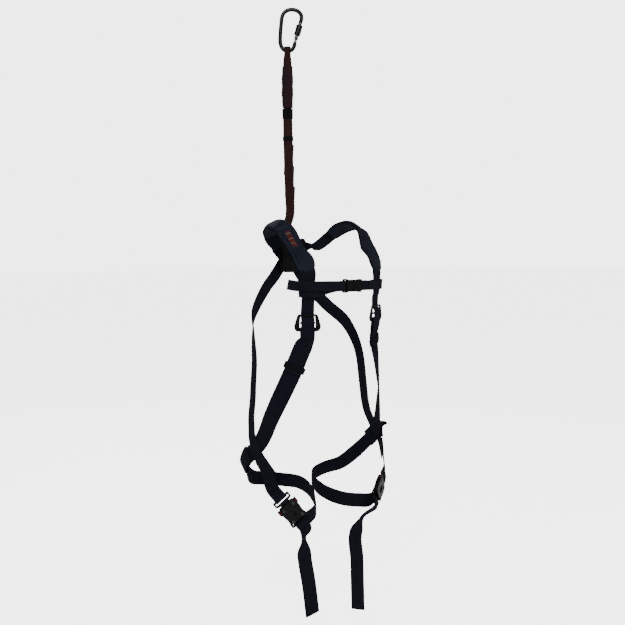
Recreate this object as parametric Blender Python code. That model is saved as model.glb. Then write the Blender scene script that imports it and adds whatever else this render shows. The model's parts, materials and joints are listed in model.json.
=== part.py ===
"""Full-body safety harness vest with its overhead tether, shaped as it hangs on a wearer.

Metres, +Z up, the wearer faces -Y and the wearer's left is +X. The origin is the centre of the
dorsal plate's flat inner face. Shapes are worked out in the wearer's frame, whose origin is the
crotch point on the body's axis, and moved into the part's frame when an object is made.
"""

import math

import bmesh
import bpy
import numpy as np
from mathutils import Matrix, Vector

MM = 0.001
GAP = 0.3 * MM                      # clearance between neighbouring pieces
PLY = 1.8 * MM                      # thickness of the webbing
UP = Vector((0, 0, 1))
BACKWARD = Vector((0, 1, 0))

# Driving sizes
DORSAL_CENTRE = Vector((0, 0.118, 0.575))   # dorsal plate's inner face, in the wearer's frame
SHOULDER_WEB = 38 * MM
TORSO_WEB = 45 * MM
BACK_WEB = 32 * MM
LEG_WEB = 36 * MM
CHEST_WEB = 25 * MM
TETHER_WEB = 25 * MM
PAD_WIDTH = 56 * MM
STRAP_X = 0.104                     # distance of the front straps from the middle
CHEST_HEIGHT = 0.508
CHEST_BUCKLE_X = 0.020
CHEST_FAN = 0.015                   # how far the right half's sewn end hangs below its free tail
THIGH_X = 0.100
THIGH_RADIUS = 0.083
THIGH_BACK = 0.014                  # the thigh's middle under the leg loops, behind the buckles'
RIGHT, LEFT = -1, 1
SIDES = {RIGHT: "right", LEFT: "left"}
ADJUSTER_HEIGHT = {RIGHT: 0.421, LEFT: 0.437}
KEEPER_HEIGHT = {RIGHT: 0.312, LEFT: 0.368}
LEG_BUCKLE_PLACE = {RIGHT: (18, -0.042, 50), LEFT: (33, -0.030, 35)}   # turn, height, tilt in degrees

# The stretched form that the straps lie on: height, half width, half depth, middle's shift back
FORM_SECTIONS = (
    (-0.05, 0.178, 0.118, 0.012),
    (0.10, 0.184, 0.120, 0.012),
    (0.40, 0.157, 0.124, 0.000),
    (0.52, 0.174, 0.128, 0.000),
    (0.64, 0.160, 0.100, 0.000),
)
FORM_POWER = 2.6

COLOURS = {
    "webbing": ((0.012, 0.012, 0.020), 0.85, 0.0),
    "padding": ((0.010, 0.010, 0.016), 0.80, 0.0),
    "foam": ((0.050, 0.050, 0.055), 0.95, 0.0),
    "tether": ((0.040, 0.014, 0.013), 0.85, 0.0),
    "elastic": ((0.008, 0.008, 0.010), 0.75, 0.0),
    "black_metal": ((0.012, 0.012, 0.014), 0.32, 0.9),
    "grey_metal": ((0.110, 0.115, 0.120), 0.35, 1.0),
    "bright_metal": ((0.450, 0.450, 0.450), 0.30, 1.0),
    "black_plastic": ((0.012, 0.012, 0.014), 0.38, 0.0),
}


def clear_scene():
    for old in list(bpy.data.objects):
        bpy.data.objects.remove(old, do_unlink=True)


def make_material(name, kind):
    colour, roughness, metallic = COLOURS[kind]
    made = bpy.data.materials.new(name + "_finish")
    made.use_nodes = True
    shader = made.node_tree.nodes["Principled BSDF"]
    shader.inputs["Base Color"].default_value = (*colour, 1.0)
    shader.inputs["Roughness"].default_value = roughness
    shader.inputs["Metallic"].default_value = metallic
    return made


def make_empty(name, matrix, parent=None):
    holder = bpy.data.objects.new(name, None)
    bpy.context.collection.objects.link(holder)
    holder.parent = parent
    holder.matrix_local = matrix
    return holder


def add_object(name, bm, kind, parent=None, origin=(0, 0, 0)):
    """Make one node from a bmesh drawn in its parent's frame, with its origin at the point given."""
    bmesh.ops.translate(bm, verts=bm.verts, vec=-Vector(origin))
    bmesh.ops.recalc_face_normals(bm, faces=bm.faces)
    mesh = bpy.data.meshes.new(name)
    bm.to_mesh(mesh)
    bm.free()
    mesh.shade_smooth()
    mesh.set_sharp_from_angle(angle=math.radians(35))
    made = bpy.data.objects.new(name, mesh)
    made.data.materials.append(make_material(name, kind))
    bpy.context.collection.objects.link(made)
    made.parent = parent
    made.location = origin
    return made


def in_part(point):
    """A point of the wearer's frame in the part's frame."""
    return Vector(point) - DORSAL_CENTRE


# ---------------------------------------------------------------- the form under the straps

def soft_min(a, b, reach):
    h = np.clip(0.5 + 0.5 * (b - a) / reach, 0, 1)
    return b * (1 - h) + a * h - reach * h * (1 - h)


def bar_distance(p, start, end, radius):
    start, end = np.array(start), np.array(end)
    along = end - start
    t = np.clip(((p - start) @ along) / (along @ along), 0, 1)
    return np.linalg.norm(p - (start + t[..., None] * along), axis=-1) - radius


def form_distance(p):
    """Distance of points from the form: a torso with shoulders, a neck and two thighs."""
    heights, widths, depths, shifts = (np.array(row) for row in zip(*FORM_SECTIONS))
    x, z = p[..., 0], p[..., 2]
    y = p[..., 1] - np.interp(z, heights, shifts)
    a, b = np.interp(z, heights, widths), np.interp(z, heights, depths)
    radius = np.hypot(x, y) + 1e-9
    swell = (np.abs(x / a) ** FORM_POWER + np.abs(y / b) ** FORM_POWER) ** (1 / FORM_POWER) + 1e-9
    torso = -soft_min(radius / swell - radius, 0.58 - z, 0.03)
    torso = -soft_min(-torso, z, 0.03)
    for side in SIDES:
        yoke = bar_distance(p, (side * 0.055, 0, 0.610), (side * 0.165, 0.01, 0.560), 0.062)
        thigh = bar_distance(p, (side * THIGH_X, 0, 0.06), (side * THIGH_X, 0, -0.5), THIGH_RADIUS)
        torso = soft_min(soft_min(torso, yoke, 0.05), thigh, 0.02)
    neck = bar_distance(p, (0, 0.01, 0.60), (0, 0, 0.80), 0.056)
    return soft_min(torso, neck, 0.04)


def form_slope(p, step=1e-4):
    ups = [form_distance(p + step * axis) - form_distance(p - step * axis) for axis in np.eye(3)]
    return np.stack(ups, axis=-1) / (2 * step)


def settle(points):
    """The nearest points on the form, and the outward directions there."""
    p = np.array(points, float)
    for _ in range(12):
        slope = form_slope(p)
        p = p - slope * (form_distance(p) / np.sum(slope * slope, axis=-1))[..., None]
    slope = form_slope(p)
    return p, slope / np.linalg.norm(slope, axis=-1)[..., None]


# ---------------------------------------------------------------- straps

class Guide:
    """One point of a strap's middle line, on its inner face, and which way the strap is thick.

    lift is its height above the form, and cling says how closely the strap follows the form there.
    """

    def __init__(self, point, facing, lift, cling, width=1.0):
        self.point, self.facing = np.array(point, float), np.array(facing, float)
        self.lift, self.cling, self.width = lift, cling, width


def on(x, y, z, lift, width=1.0):
    """A guide laid on the form near a point, its inner face lifted off by so many millimetres."""
    base, facing = settle([(x, y, z)])
    return Guide(base[0] + facing[0] * lift * MM, facing[0], lift * MM, 1.0, width)


def at(point, facing, width=1.0):
    """A free guide whose inner face is at the point."""
    base, out = settle([tuple(point)])
    height = float((np.array(point) - base[0]) @ out[0])
    return Guide(point, Vector(facing).normalized(), height, 0.0, width)


def wrap(bar, heading, normal, half_n, half_t, width=1.0):
    """Guides round a bar: in under its inner side, round its far side and out over its outer side.

    half_n and half_t are half the bar's size along the normal and the heading.
    """
    off = GAP + PLY
    guides = []
    for side in (-1, 1):
        turns = (0, math.pi / 4, math.pi / 2) if side < 0 else (math.pi / 2, math.pi / 4, 0)
        for turn in turns:
            c, s = math.cos(turn), math.sin(turn)
            point = bar + normal * side * (half_n + off * c) + heading * (half_t + off * s)
            guides.append(at(point, normal * -side * c - heading * s, width))
    return guides


def eye_end(bar, heading, normal, half, bar_half, length, sag=0.0, width=1.0):
    """A strap's sewn end round a bar: main ply, the turn, and the outer ply laid back on the main one.

    half is half the bar's thickness, bar_half half its width along the heading, and sag how far the
    strap has dropped below the bar's level at the eye's root.
    """
    reach_n = half + GAP + PLY
    root = bar - heading * length - normal * (reach_n + sag)
    lean = (normal * length - heading * sag).normalized()
    beside = bar - heading * (bar_half + 1 * MM)
    return (
        [at(root, lean, width), at(beside - normal * reach_n, normal, width)]
        + wrap(bar, heading, normal, half, bar_half, width)
        + [at(beside + normal * reach_n, -normal, width)]
        + [at(root + lean * (2 * PLY + 2 * GAP) + heading * 2 * MM, -lean, width)]
    )


def catmull(p0, p1, p2, p3, t):
    """A Catmull-Rom curve between p1 and p2, its ends eased by the lengths of the neighbouring spans."""
    d1 = max(np.linalg.norm(p2 - p1), 1e-6)
    d0, d2 = max(np.linalg.norm(p1 - p0), 1e-6), max(np.linalg.norm(p3 - p2), 1e-6)
    m1 = (p2 - p1) / d1 - (p2 - p0) / (d0 + d1) + (p1 - p0) / d0
    m2 = (p3 - p2) / d2 - (p3 - p1) / (d1 + d2) + (p2 - p1) / d1
    m1, m2 = m1 * d1, m2 * d1
    t2, t3 = t * t, t * t * t
    return (
        (2 * t3 - 3 * t2 + 1) * p1 + (t3 - 2 * t2 + t) * m1 + (3 * t2 - 2 * t3) * p2 + (t3 - t2) * m2
    )


def stations(guides, step):
    """The guides with more filled in between them, about a step apart."""
    spots = []
    count = len(guides)
    for i in range(count - 1):
        a, b = guides[i], guides[i + 1]
        before = guides[i - 1].point if i else 2 * a.point - b.point
        after = guides[i + 2].point if i + 2 < count else 2 * b.point - a.point
        pieces = max(1, int(np.linalg.norm(b.point - a.point) / step + 0.5))
        for k in range(pieces):
            t = k / pieces
            ease = t * t * (3 - 2 * t)
            mix = lambda u, v, w: u * (1 - w) + v * w
            facing = mix(a.facing, b.facing, ease)
            spots.append(
                Guide(
                    catmull(before, a.point, b.point, after, t),
                    facing / np.linalg.norm(facing),
                    mix(a.lift, b.lift, ease),
                    mix(a.cling, b.cling, ease),
                    mix(a.width, b.width, ease),
                )
            )
    return spots + [guides[-1]]


def sections(guides, width, step, spread, slant=0.0):
    """The strap's inner face as points, stations by places across it, and its outward directions.

    spread lists the places across the strap, from -0.5 to 0.5 of its width.
    """
    spots = stations(guides, step)
    middle = np.array([s.point for s in spots])
    cling = np.array([s.cling for s in spots])[:, None]
    lift = np.array([s.lift for s in spots])[:, None]
    settled, form_facing = settle(middle)
    middle = middle * (1 - cling) + (settled + form_facing * lift) * cling
    facing = np.array([s.facing for s in spots]) * (1 - cling) + form_facing * cling
    tangent = np.gradient(middle, axis=0)
    tangent /= np.linalg.norm(tangent, axis=1)[:, None]
    facing -= tangent * np.sum(facing * tangent, axis=1)[:, None]
    facing /= np.linalg.norm(facing, axis=1)[:, None]
    side = np.cross(tangent, facing)
    wide = np.array([s.width for s in spots]) * width
    inner = np.empty((len(spots), len(spread), 3))
    outward = np.empty_like(inner)
    for k, place in enumerate(spread):
        offset = side * (wide * place)[:, None]
        if slant:
            offset[-1] += tangent[-1] * slant * place * width
        low, up = settle(middle + offset)
        inner[:, k] = (middle + offset) * (1 - cling) + (low + up * lift) * cling
        mixed = facing * (1 - cling) + up * cling
        outward[:, k] = mixed / np.linalg.norm(mixed, axis=1)[:, None]
    return inner, outward


def strip_rings(inner, outward, low, high):
    """Closed rings across a strap, from a height low to a height high above its inner face."""
    under = inner + outward * low
    over = inner + outward * high
    return np.concatenate([under, over[:, ::-1]], axis=1)


def ring_faces(bm, rings, closed_ends=True):
    rows = [[bm.verts.new(Vector(p) - DORSAL_CENTRE) for p in ring] for ring in rings]
    count = len(rows[0])
    for a, b in zip(rows, rows[1:]):
        for k in range(count):
            bm.faces.new((a[k], a[(k + 1) % count], b[(k + 1) % count], b[k]))
    if closed_ends:
        for row in (rows[0], rows[-1]):
            for k in range(count // 2 - 1):
                bm.faces.new((row[k], row[k + 1], row[count - 2 - k], row[count - 1 - k]))
    return rows


def strap(name, guides, width, kind="webbing", step=16 * MM, origin=None, slant=0.0, thick=PLY):
    """A webbing strap through its guides, as one closed strip."""
    inner, outward = sections(guides, width, step, (-0.5, 0.0, 0.5), slant)
    bm = bmesh.new()
    ring_faces(bm, strip_rings(inner, outward, 0.0, thick))
    start = in_part(origin) if origin is not None else in_part(inner[0, 1])
    return add_object(name, bm, kind, origin=start)


def sleeve(name, guides, width, height, wall, kind, step=14 * MM, places=5):
    """An open-ended flattened tube along the guides, its inner face at their lift."""
    across = np.linspace(-0.5, 0.5, places)
    inner, outward = sections(guides, width, step, across)
    shrink = 1 - 2 * wall / width
    bore, bore_out = sections(guides, width * shrink, step, across)
    bm = bmesh.new()
    outside = ring_faces(bm, strip_rings(inner, outward, 0.0, height), False)
    inside = ring_faces(bm, strip_rings(bore, bore_out, wall, height - wall), False)
    count = len(outside[0])
    for end in (0, -1):
        for k in range(count):
            n = (k + 1) % count
            bm.faces.new((outside[end][k], outside[end][n], inside[end][n], inside[end][k]))
    return add_object(name, bm, kind, origin=in_part(inner[0, places // 2]))


# ---------------------------------------------------------------- plates, bars and pins

def rounded_outline(width, height, radius, centre=(0, 0), steps=3):
    points = []
    for quarter, (sx, sy) in enumerate(((1, 1), (-1, 1), (-1, -1), (1, -1))):
        cx = centre[0] + sx * (width / 2 - radius)
        cy = centre[1] + sy * (height / 2 - radius)
        for i in range(steps + 1):
            angle = math.pi / 2 * (quarter + i / steps)
            points.append((cx + radius * math.cos(angle), cy + radius * math.sin(angle)))
    return points


def round_outline(radius, centre=(0, 0), steps=10):
    turns = [2 * math.pi * i / steps for i in range(steps)]
    return [(centre[0] + radius * math.cos(a), centre[1] + radius * math.sin(a)) for a in turns]


def softened_outline(corners, radius, steps=2):
    """A polygon's outline with each corner cut by a short curve."""
    points = []
    count = len(corners)
    for i in range(count):
        here = Vector(corners[i])
        ways = [Vector(corners[(i + d) % count]) - here for d in (-1, 1)]
        start, end = (here + w.normalized() * min(radius, w.length * 0.45) for w in ways)
        for k in range(steps + 1):
            t = k / steps
            points.append(tuple(start * (1 - t) ** 2 + here * 2 * t * (1 - t) + end * t * t))
    return points


def add_plate(bm, outline, holes, low, high):
    """A plate in the XY plane with holes, from a low to a high Z, added to a bmesh."""
    loops = []
    for loop in [outline] + list(holes):
        loops.append([bm.verts.new((x, y, low)) for x, y in loop])
    edges = [bm.edges.new((a, b)) for vs in loops for a, b in zip(vs, vs[1:] + vs[:1])]
    fill = bmesh.ops.triangle_fill(bm, use_beauty=True, edges=edges, normal=(0, 0, -1))
    faces = [g for g in fill["geom"] if isinstance(g, bmesh.types.BMFace)]
    raised = bmesh.ops.extrude_face_region(bm, geom=faces, use_keep_orig=True)
    tops = [g for g in raised["geom"] if isinstance(g, bmesh.types.BMVert)]
    bmesh.ops.translate(bm, verts=tops, vec=(0, 0, high - low))


def plate(name, outline, holes, low, high, kind, parent, origin=(0, 0, 0), bevel=0.0):
    bm = bmesh.new()
    add_plate(bm, outline, holes, low, high)
    made = add_object(name, bm, kind, parent, origin)
    if bevel:
        soften(made, bevel)
    return made


def soften(made, width, segments=1):
    edge = made.modifiers.new("edges", "BEVEL")
    edge.width = width
    edge.segments = segments
    edge.limit_method = "ANGLE"
    edge.angle_limit = math.radians(50)


def add_turned(bm, profile, matrix=Matrix.Identity(4), steps=12):
    """A turned piece from (radius, height) pairs, capped where the radius is zero."""
    rows = []
    for radius, height in profile:
        if radius == 0:
            rows.append([bm.verts.new(matrix @ Vector((0, 0, height)))])
            continue
        turns = [2 * math.pi * i / steps for i in range(steps)]
        spots = [Vector((radius * math.cos(a), radius * math.sin(a), height)) for a in turns]
        rows.append([bm.verts.new(matrix @ p) for p in spots])
    for a, b in zip(rows, rows[1:]):
        for k in range(steps):
            n = (k + 1) % steps
            if len(a) == 1:
                bm.faces.new((a[0], b[k], b[n]))
            elif len(b) == 1:
                bm.faces.new((a[k], a[n], b[0]))
            else:
                bm.faces.new((a[k], a[n], b[n], b[k]))
    return rows


def turned(name, profile, kind, parent, matrix=Matrix.Identity(4), origin=(0, 0, 0), steps=12):
    bm = bmesh.new()
    rows = add_turned(bm, profile, matrix, steps)
    if len(rows[0]) > 1:
        for k in range(steps):
            n = (k + 1) % steps
            bm.faces.new((rows[0][k], rows[0][n], rows[-1][n], rows[-1][k]))
    return add_object(name, bm, kind, parent, origin)


def cut(target, cutter):
    """Cut one object out of another, keeping the cutter as a hidden guide. Returns the modifier."""
    cutter.hide_render = True
    cutter.display_type = "WIRE"
    step = target.modifiers.new("cut_" + cutter.name, "BOOLEAN")
    step.operation = "DIFFERENCE"
    step.object = cutter
    return step


def rod(bm, points, radius, plane_normal, steps=12):
    """A round bar along points that lie in one plane, with flat ends."""
    count = len(points)
    rows = []
    for i, p in enumerate(points):
        along = (points[min(i + 1, count - 1)] - points[max(i - 1, 0)]).normalized()
        out = along.cross(plane_normal)
        turns = [2 * math.pi * k / steps for k in range(steps)]
        ring = [p + (out * math.cos(a) + plane_normal * math.sin(a)) * radius for a in turns]
        rows.append([bm.verts.new(q) for q in ring])
    for a, b in zip(rows, rows[1:]):
        for k in range(steps):
            n = (k + 1) % steps
            bm.faces.new((a[k], a[n], b[n], b[k]))
    bm.faces.new(rows[0])
    bm.faces.new(rows[-1])


def box_object(name, low, high, kind, parent, origin=(0, 0, 0)):
    bm = bmesh.new()
    centre = [(a + b) / 2 for a, b in zip(low, high)]
    size = [b - a for a, b in zip(low, high)]
    grow = Matrix.Translation(centre) @ Matrix.Diagonal((*size, 1))
    bmesh.ops.create_cube(bm, size=1, matrix=grow)
    return add_object(name, bm, kind, parent, origin)


def axes_matrix(origin, along, normal):
    """A frame with +X along, +Z along the normal and its origin at a point of the wearer's frame."""
    x = Vector(along).normalized()
    z = Vector(normal)
    z = (z - x * z.dot(x)).normalized()
    y = z.cross(x)
    matrix = Matrix((x, y, z)).transposed().to_4x4()
    matrix.translation = in_part(origin)
    return matrix


# ---------------------------------------------------------------- tether

TETHER_Y = 0.1345
TETHER_BACK_TOP = Vector((math.sin(math.radians(35)), math.cos(math.radians(35)), 0))
TETHER_EYE = Vector((0.004, TETHER_Y, 1.1165))   # middle of the carabiner's bottom bar
RING_TOP = Vector((0, TETHER_Y, 0.628))          # middle of the dorsal ring's top bar
RING_BAR = 2.5 * MM
RING_HEIGHT = 38 * MM                            # between its top and low bars
TETHER_BOW = 0.0125                              # how far the slack tether bows to the wearer's left
COVER_LOW, COVER_HIGH = 0.968, 1.076
EYE_ROOT, EYE_NECK = 1.012, 1.084                # where the eye's plies start, and part round the bar
BAND_LOW = 0.940


def tether_facing(height):
    """The tether lies flat to the back at the dorsal ring and turns on its way up."""
    share = min(max((height - 0.66) / 0.12, 0), 1)
    return (BACKWARD * (1 - share) + TETHER_BACK_TOP * share).normalized()


def tether_guides(heights, lift, width=1.0):
    """Guides up the tether, their inner face so many millimetres behind its middle plane."""
    guides = []
    for height in heights:
        share = (height - RING_TOP.z) / (TETHER_EYE.z - RING_TOP.z)
        middle = RING_TOP.lerp(TETHER_EYE, share)
        middle.x += TETHER_BOW * math.sin(math.pi * max(share, 0) ** 0.4) * max(1 - share, 0) ** 1.2
        facing = tether_facing(height)
        guides.append(at(middle + facing * lift * MM, facing, width))
    return guides


def turned_over(guides):
    """The same guides facing the other way, so that the ply lies in front of them."""
    return [at(g.point, -g.facing, g.width) for g in guides]


def make_tether():
    middle = TETHER_EYE + UP * 2.8 * MM          # clear of the bent bar, which rises at both sides
    half = CARABINER_BAR + 1.3 * MM
    turn = wrap(middle, UP, TETHER_BACK_TOP, half, CARABINER_BAR, 0.72)
    beside = TETHER_EYE - UP * 5 * MM
    reach = TETHER_BACK_TOP * (half + GAP + PLY)
    tail = (PLY + GAP / 2) / MM
    rise = tether_guides([EYE_ROOT, 1.05], -tail) + tether_guides([EYE_NECK], -tail - 2.5)
    fall = tether_guides([EYE_ROOT, 1.05], tail) + tether_guides([EYE_NECK], tail + 2.5)
    rise.append(at(beside - reach, TETHER_BACK_TOP, 0.76))
    fall.append(at(beside + reach, TETHER_BACK_TOP, 0.76))
    strap("tether_eye", rise + turn + turned_over(fall[::-1]), 22 * MM, "tether", 30 * MM, TETHER_EYE)

    cover = tether_guides([COVER_LOW, 1.02, COVER_HIGH], -7.5)
    sleeve("absorber_cover", cover, 30 * MM, 15 * MM, 1 * MM, "tether", step=40 * MM, places=3)
    core = tether_guides([COVER_LOW + 6 * MM, EYE_ROOT - 8 * MM], -5)
    strap("absorber_core", core, TETHER_WEB, "tether", 20 * MM, thick=10 * MM)
    band = tether_guides([BAND_LOW, COVER_LOW - 2 * MM], -4.5)
    sleeve("absorber_band", band, 28 * MM, 9 * MM, 1 * MM, "elastic", step=40 * MM, places=3)

    run = tether_guides([COVER_LOW - 4 * MM, 0.92, 0.87, 0.82, 0.77, 0.73, 0.69], -PLY / MM)
    knee = at(RING_TOP + Vector((0, -3.2 * MM, 26 * MM)), BACKWARD)
    turn = wrap(RING_TOP, -UP, BACKWARD, RING_BAR, RING_BAR)
    end = at(RING_TOP + Vector((0, 3.6 * MM, 40 * MM)), -BACKWARD)
    strap("tether_webbing", run + [knee] + turn + [end], TETHER_WEB, "tether", 26 * MM, RING_TOP)


# ---------------------------------------------------------------- carabiner

CARABINER_BAR = 5.4 * MM
CARABINER_LEAN = math.radians(5)
GATE_PIVOT = Vector((18 * MM, 0, 24 * MM))       # from the middle of the bottom bar
GATE_NOSE = Vector((28 * MM, 0, 76 * MM))
GATE_RADIUS = 5.0 * MM
BORE_REACH = 20 * MM                             # half length of the cutters that pass right through


def carabiner_line():
    """The bent bar's middle line from the nose over the wide top, down the spine and round the foot."""
    corners = (
        (28, 76), (29.6, 84), (28.5, 93), (23, 101), (14, 105.5), (3, 106.6), (-9, 103.5),
        (-17.5, 96), (-21.8, 84), (-22.2, 70), (-22.2, 40), (-21.2, 24), (-17.8, 11), (-11.5, 3),
        (-4, 0), (4, 0), (11, 3.2), (15.4, 9.5), (17.2, 16.5), (18, 24),
    )
    return smooth_line([Vector((x * MM, 0, z * MM)) for x, z in corners], 2)


def through_cutter(name, radius, parent, matrix):
    profile = [(0, -BORE_REACH), (radius, -BORE_REACH), (radius, BORE_REACH), (0, BORE_REACH)]
    return turned(name, profile, "grey_metal", parent, matrix)


def make_carabiner():
    across = Vector((TETHER_BACK_TOP.y, -TETHER_BACK_TOP.x, 0))
    matrix = Matrix((across, TETHER_BACK_TOP, UP)).transposed().to_4x4()
    matrix = Matrix.Translation(in_part(TETHER_EYE)) @ matrix @ Matrix.Rotation(CARABINER_LEAN, 4, "Y")
    frame = make_empty("carabiner_hang", matrix)
    bm = bmesh.new()
    rod(bm, carabiner_line(), CARABINER_BAR, Vector((0, 1, 0)))
    body = add_object("carabiner_body", bm, "black_metal", frame)

    gate_way = GATE_NOSE - GATE_PIVOT
    length = gate_way.length
    turn = UP.rotation_difference(gate_way).to_matrix().to_4x4()
    pivot = make_empty("gate_pivot", Matrix.Translation(GATE_PIVOT) @ turn, frame)
    pin_turn = Matrix.Rotation(math.pi / 2, 4, "X")
    half_tab = 2.2 * MM
    half_slot = half_tab + GAP
    slot = box_object("gate_slot", (-BORE_REACH, -half_slot, -5 * MM), (BORE_REACH, half_slot, 8 * MM),
                      "grey_metal", pivot)
    cut(body, slot)
    cut(body, through_cutter("pin_bore", 1.8 * MM, pivot, pin_turn))

    foot, top = 6.4 * MM, length - 0.7 * MM
    gate = turned("carabiner_gate", [(0, foot), (GATE_RADIUS, foot), (GATE_RADIUS, top), (0, top)],
                  "grey_metal", pivot)
    tab = box_object("gate_tab", (-3.4 * MM, -half_tab, -3.4 * MM), (3.4 * MM, half_tab, foot + 2 * MM),
                     "grey_metal", pivot)
    cut(gate, tab).operation = "UNION"
    cut(gate, through_cutter("gate_bore", 1.8 * MM, pivot, pin_turn))
    spring_floor, spring_radius = length - 15 * MM, 2.6 * MM
    spring_bore = [(0, spring_floor), (spring_radius, spring_floor), (spring_radius, length), (0, length)]
    cut(gate, turned("spring_bore", spring_bore, "grey_metal", pivot))
    half_pin, head, shaft = 5.7 * MM, 2.6 * MM, 1.5 * MM
    turned("gate_pin", [(0, -half_pin), (head, -half_pin), (shaft, -half_pin + 0.3 * MM),
                        (shaft, half_pin - 0.3 * MM), (head, half_pin), (0, half_pin)],
           "grey_metal", pivot, pin_turn)
    make_gate_spring(pivot, spring_floor + 1 * MM, length - 3 * MM)

    inner, outer, low, high = CARABINER_BAR + 0.6 * MM, 8.4 * MM, 18 * MM, 45 * MM
    turned("lock_sleeve", [(outer - 0.8 * MM, low), (outer, low + 1 * MM), (outer, high - 1 * MM),
                           (outer - 0.8 * MM, high), (inner, high), (inner, low)],
           "black_metal", pivot, steps=20)


def make_gate_spring(pivot, low, high):
    """The gate's return spring, coiled in the blind bore at its upper end."""
    turns, radius, wire, per_turn = 5, 1.9 * MM, 0.35 * MM, 10
    bm = bmesh.new()
    rows = []
    for i in range(turns * per_turn + 1):
        a = 2 * math.pi * i / per_turn
        out = Vector((math.cos(a), math.sin(a), 0))
        middle = out * radius + UP * (low + (high - low) * i / (turns * per_turn))
        quarter_turns = [math.pi / 2 * k for k in range(4)]
        rows.append([bm.verts.new(middle + (out * math.cos(b) + UP * math.sin(b)) * wire)
                     for b in quarter_turns])
    for a, b in zip(rows, rows[1:]):
        for k in range(4):
            bm.faces.new((a[k], a[(k + 1) % 4], b[(k + 1) % 4], b[k]))
    bm.faces.new(rows[0])
    bm.faces.new(rows[-1])
    add_object("gate_spring", bm, "bright_metal", pivot)


def smooth_line(points, pieces):
    """Extra points between the given ones, on a Catmull-Rom curve."""
    arrays = [np.array(p) for p in points]
    arrays = [2 * arrays[0] - arrays[1]] + arrays + [2 * arrays[-1] - arrays[-2]]
    line = []
    for i in range(1, len(arrays) - 2):
        for k in range(pieces):
            line.append(Vector(catmull(*arrays[i - 1:i + 3], k / pieces)))
    return line + [Vector(arrays[-2])]


# ---------------------------------------------------------------- back

PLATE_THICK = 3 * MM


def on_plate(x, z, layer):
    """A guide flat on the dorsal plate, on the given layer of webbing counted from it."""
    y = DORSAL_CENTRE.y + PLATE_THICK + GAP + layer * (PLY + GAP)
    return at(Vector((x, y, z)), BACKWARD)


def make_dorsal():
    frame = make_empty("dorsal", Matrix.Rotation(-math.pi / 2, 4, "X"))
    outline = softened_outline([(-0.026, -0.046), (0.026, -0.046), (0.036, 0), (0.026, 0.040),
                                (-0.026, 0.040), (-0.036, 0)], 12 * MM)
    slots = [rounded_outline(5 * MM, 30 * MM, 2 * MM, (side * 27 * MM, 0)) for side in SIDES]
    plate("dorsal_plate", outline, slots, 0, PLATE_THICK, "black_plastic", frame, bevel=0.6 * MM)

    half_width, height = 19 * MM, RING_HEIGHT
    corners = [(0, 0), (1, 0), (1, -1), (-1, -1), (-1, 0), (0, 0)]
    line = []
    for i, (x, z) in enumerate(corners):
        corner = Vector((x * half_width, 0, z * height))
        if i in (0, 5):
            line.append(corner)
            continue
        inward = Vector((-x, 0, -1 - 2 * z)) * 7 * MM
        for k in range(4):
            a = math.pi / 2 * k / 3
            first, last = Vector((0, 0, inward.z)), Vector((inward.x, 0, 0))
            if i % 2:
                first, last = last, first
            line.append(corner + first * (1 - math.sin(a)) + last * (1 - math.cos(a)))
    bm = bmesh.new()
    centre = in_part(RING_TOP)
    ring_rod(bm, [centre + p for p in line[:-1]], RING_BAR)
    add_object("dorsal_ring", bm, "black_metal", origin=centre)


def make_dorsal_loop():
    """The short webbing loop that holds the dorsal ring's low bar."""
    low_bar = RING_TOP - UP * RING_HEIGHT
    half = RING_BAR + 0.2 * MM
    strap("dorsal_loop", eye_end(low_bar, UP, BACKWARD, half, half, 32 * MM), 24 * MM, origin=low_bar)


def ring_rod(bm, points, radius, steps=8):
    """A round bar along a closed line in the XZ plane."""
    count = len(points)
    rows = []
    for i, p in enumerate(points):
        along = (points[(i + 1) % count] - points[i - 1]).normalized()
        out = along.cross(BACKWARD)
        turns = [2 * math.pi * k / steps for k in range(steps)]
        rows.append([bm.verts.new(p + (out * math.cos(a) + BACKWARD * math.sin(a)) * radius) for a in turns])
    for a, b in zip(rows, rows[1:] + rows[:1]):
        for k in range(steps):
            n = (k + 1) % steps
            bm.faces.new((a[k], a[n], b[n], b[k]))


def make_back_strap(side):
    layer = 2 if side == RIGHT else 3
    guides = [
        on_plate(side * 0.004, 0.580, layer),
        on_plate(side * 0.022, 0.555, layer),
        on_plate(side * 0.042, 0.527, layer),
        on(side * 0.068, 0.118, 0.495, 4),
        on(side * 0.105, 0.100, 0.450, 2),
        on(side * 0.140, 0.060, 0.395, 1.5),
        on(side * 0.155, 0.032, 0.330, 1.5),
        on(side * 0.170, 0.024, 0.240, 1.5),
        on(side * 0.181, 0.018, 0.165, 3.0),
        on(side * 0.182, 0.002, 0.128, 6.6),
        on(side * 0.179, -0.018, 0.100, 6.6),
        on(side * 0.171, -0.042, 0.066, 3.4),
        on(side * 0.166, -0.052, 0.050, 3.0),
    ]
    strap(f"back_strap_{SIDES[side]}", guides, BACK_WEB, step=15 * MM)


# ---------------------------------------------------------------- shoulders and front

def shoulder_spot(side, y, z, lift, width=1.0, x=STRAP_X):
    return on(side * x, y, z, lift, width)


PAD_RUN = (                         # the middle of a pad on the form, from behind the shoulder down
    (0.092, 0.066, 0.630), (0.108, 0.034, 0.648), (0.117, -0.004, 0.650), (0.117, -0.042, 0.635),
    (0.112, -0.078, 0.602), (0.107, -0.104, 0.566), (0.104, -0.116, 0.540),
)
PAD_STEP = 15 * MM


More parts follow.
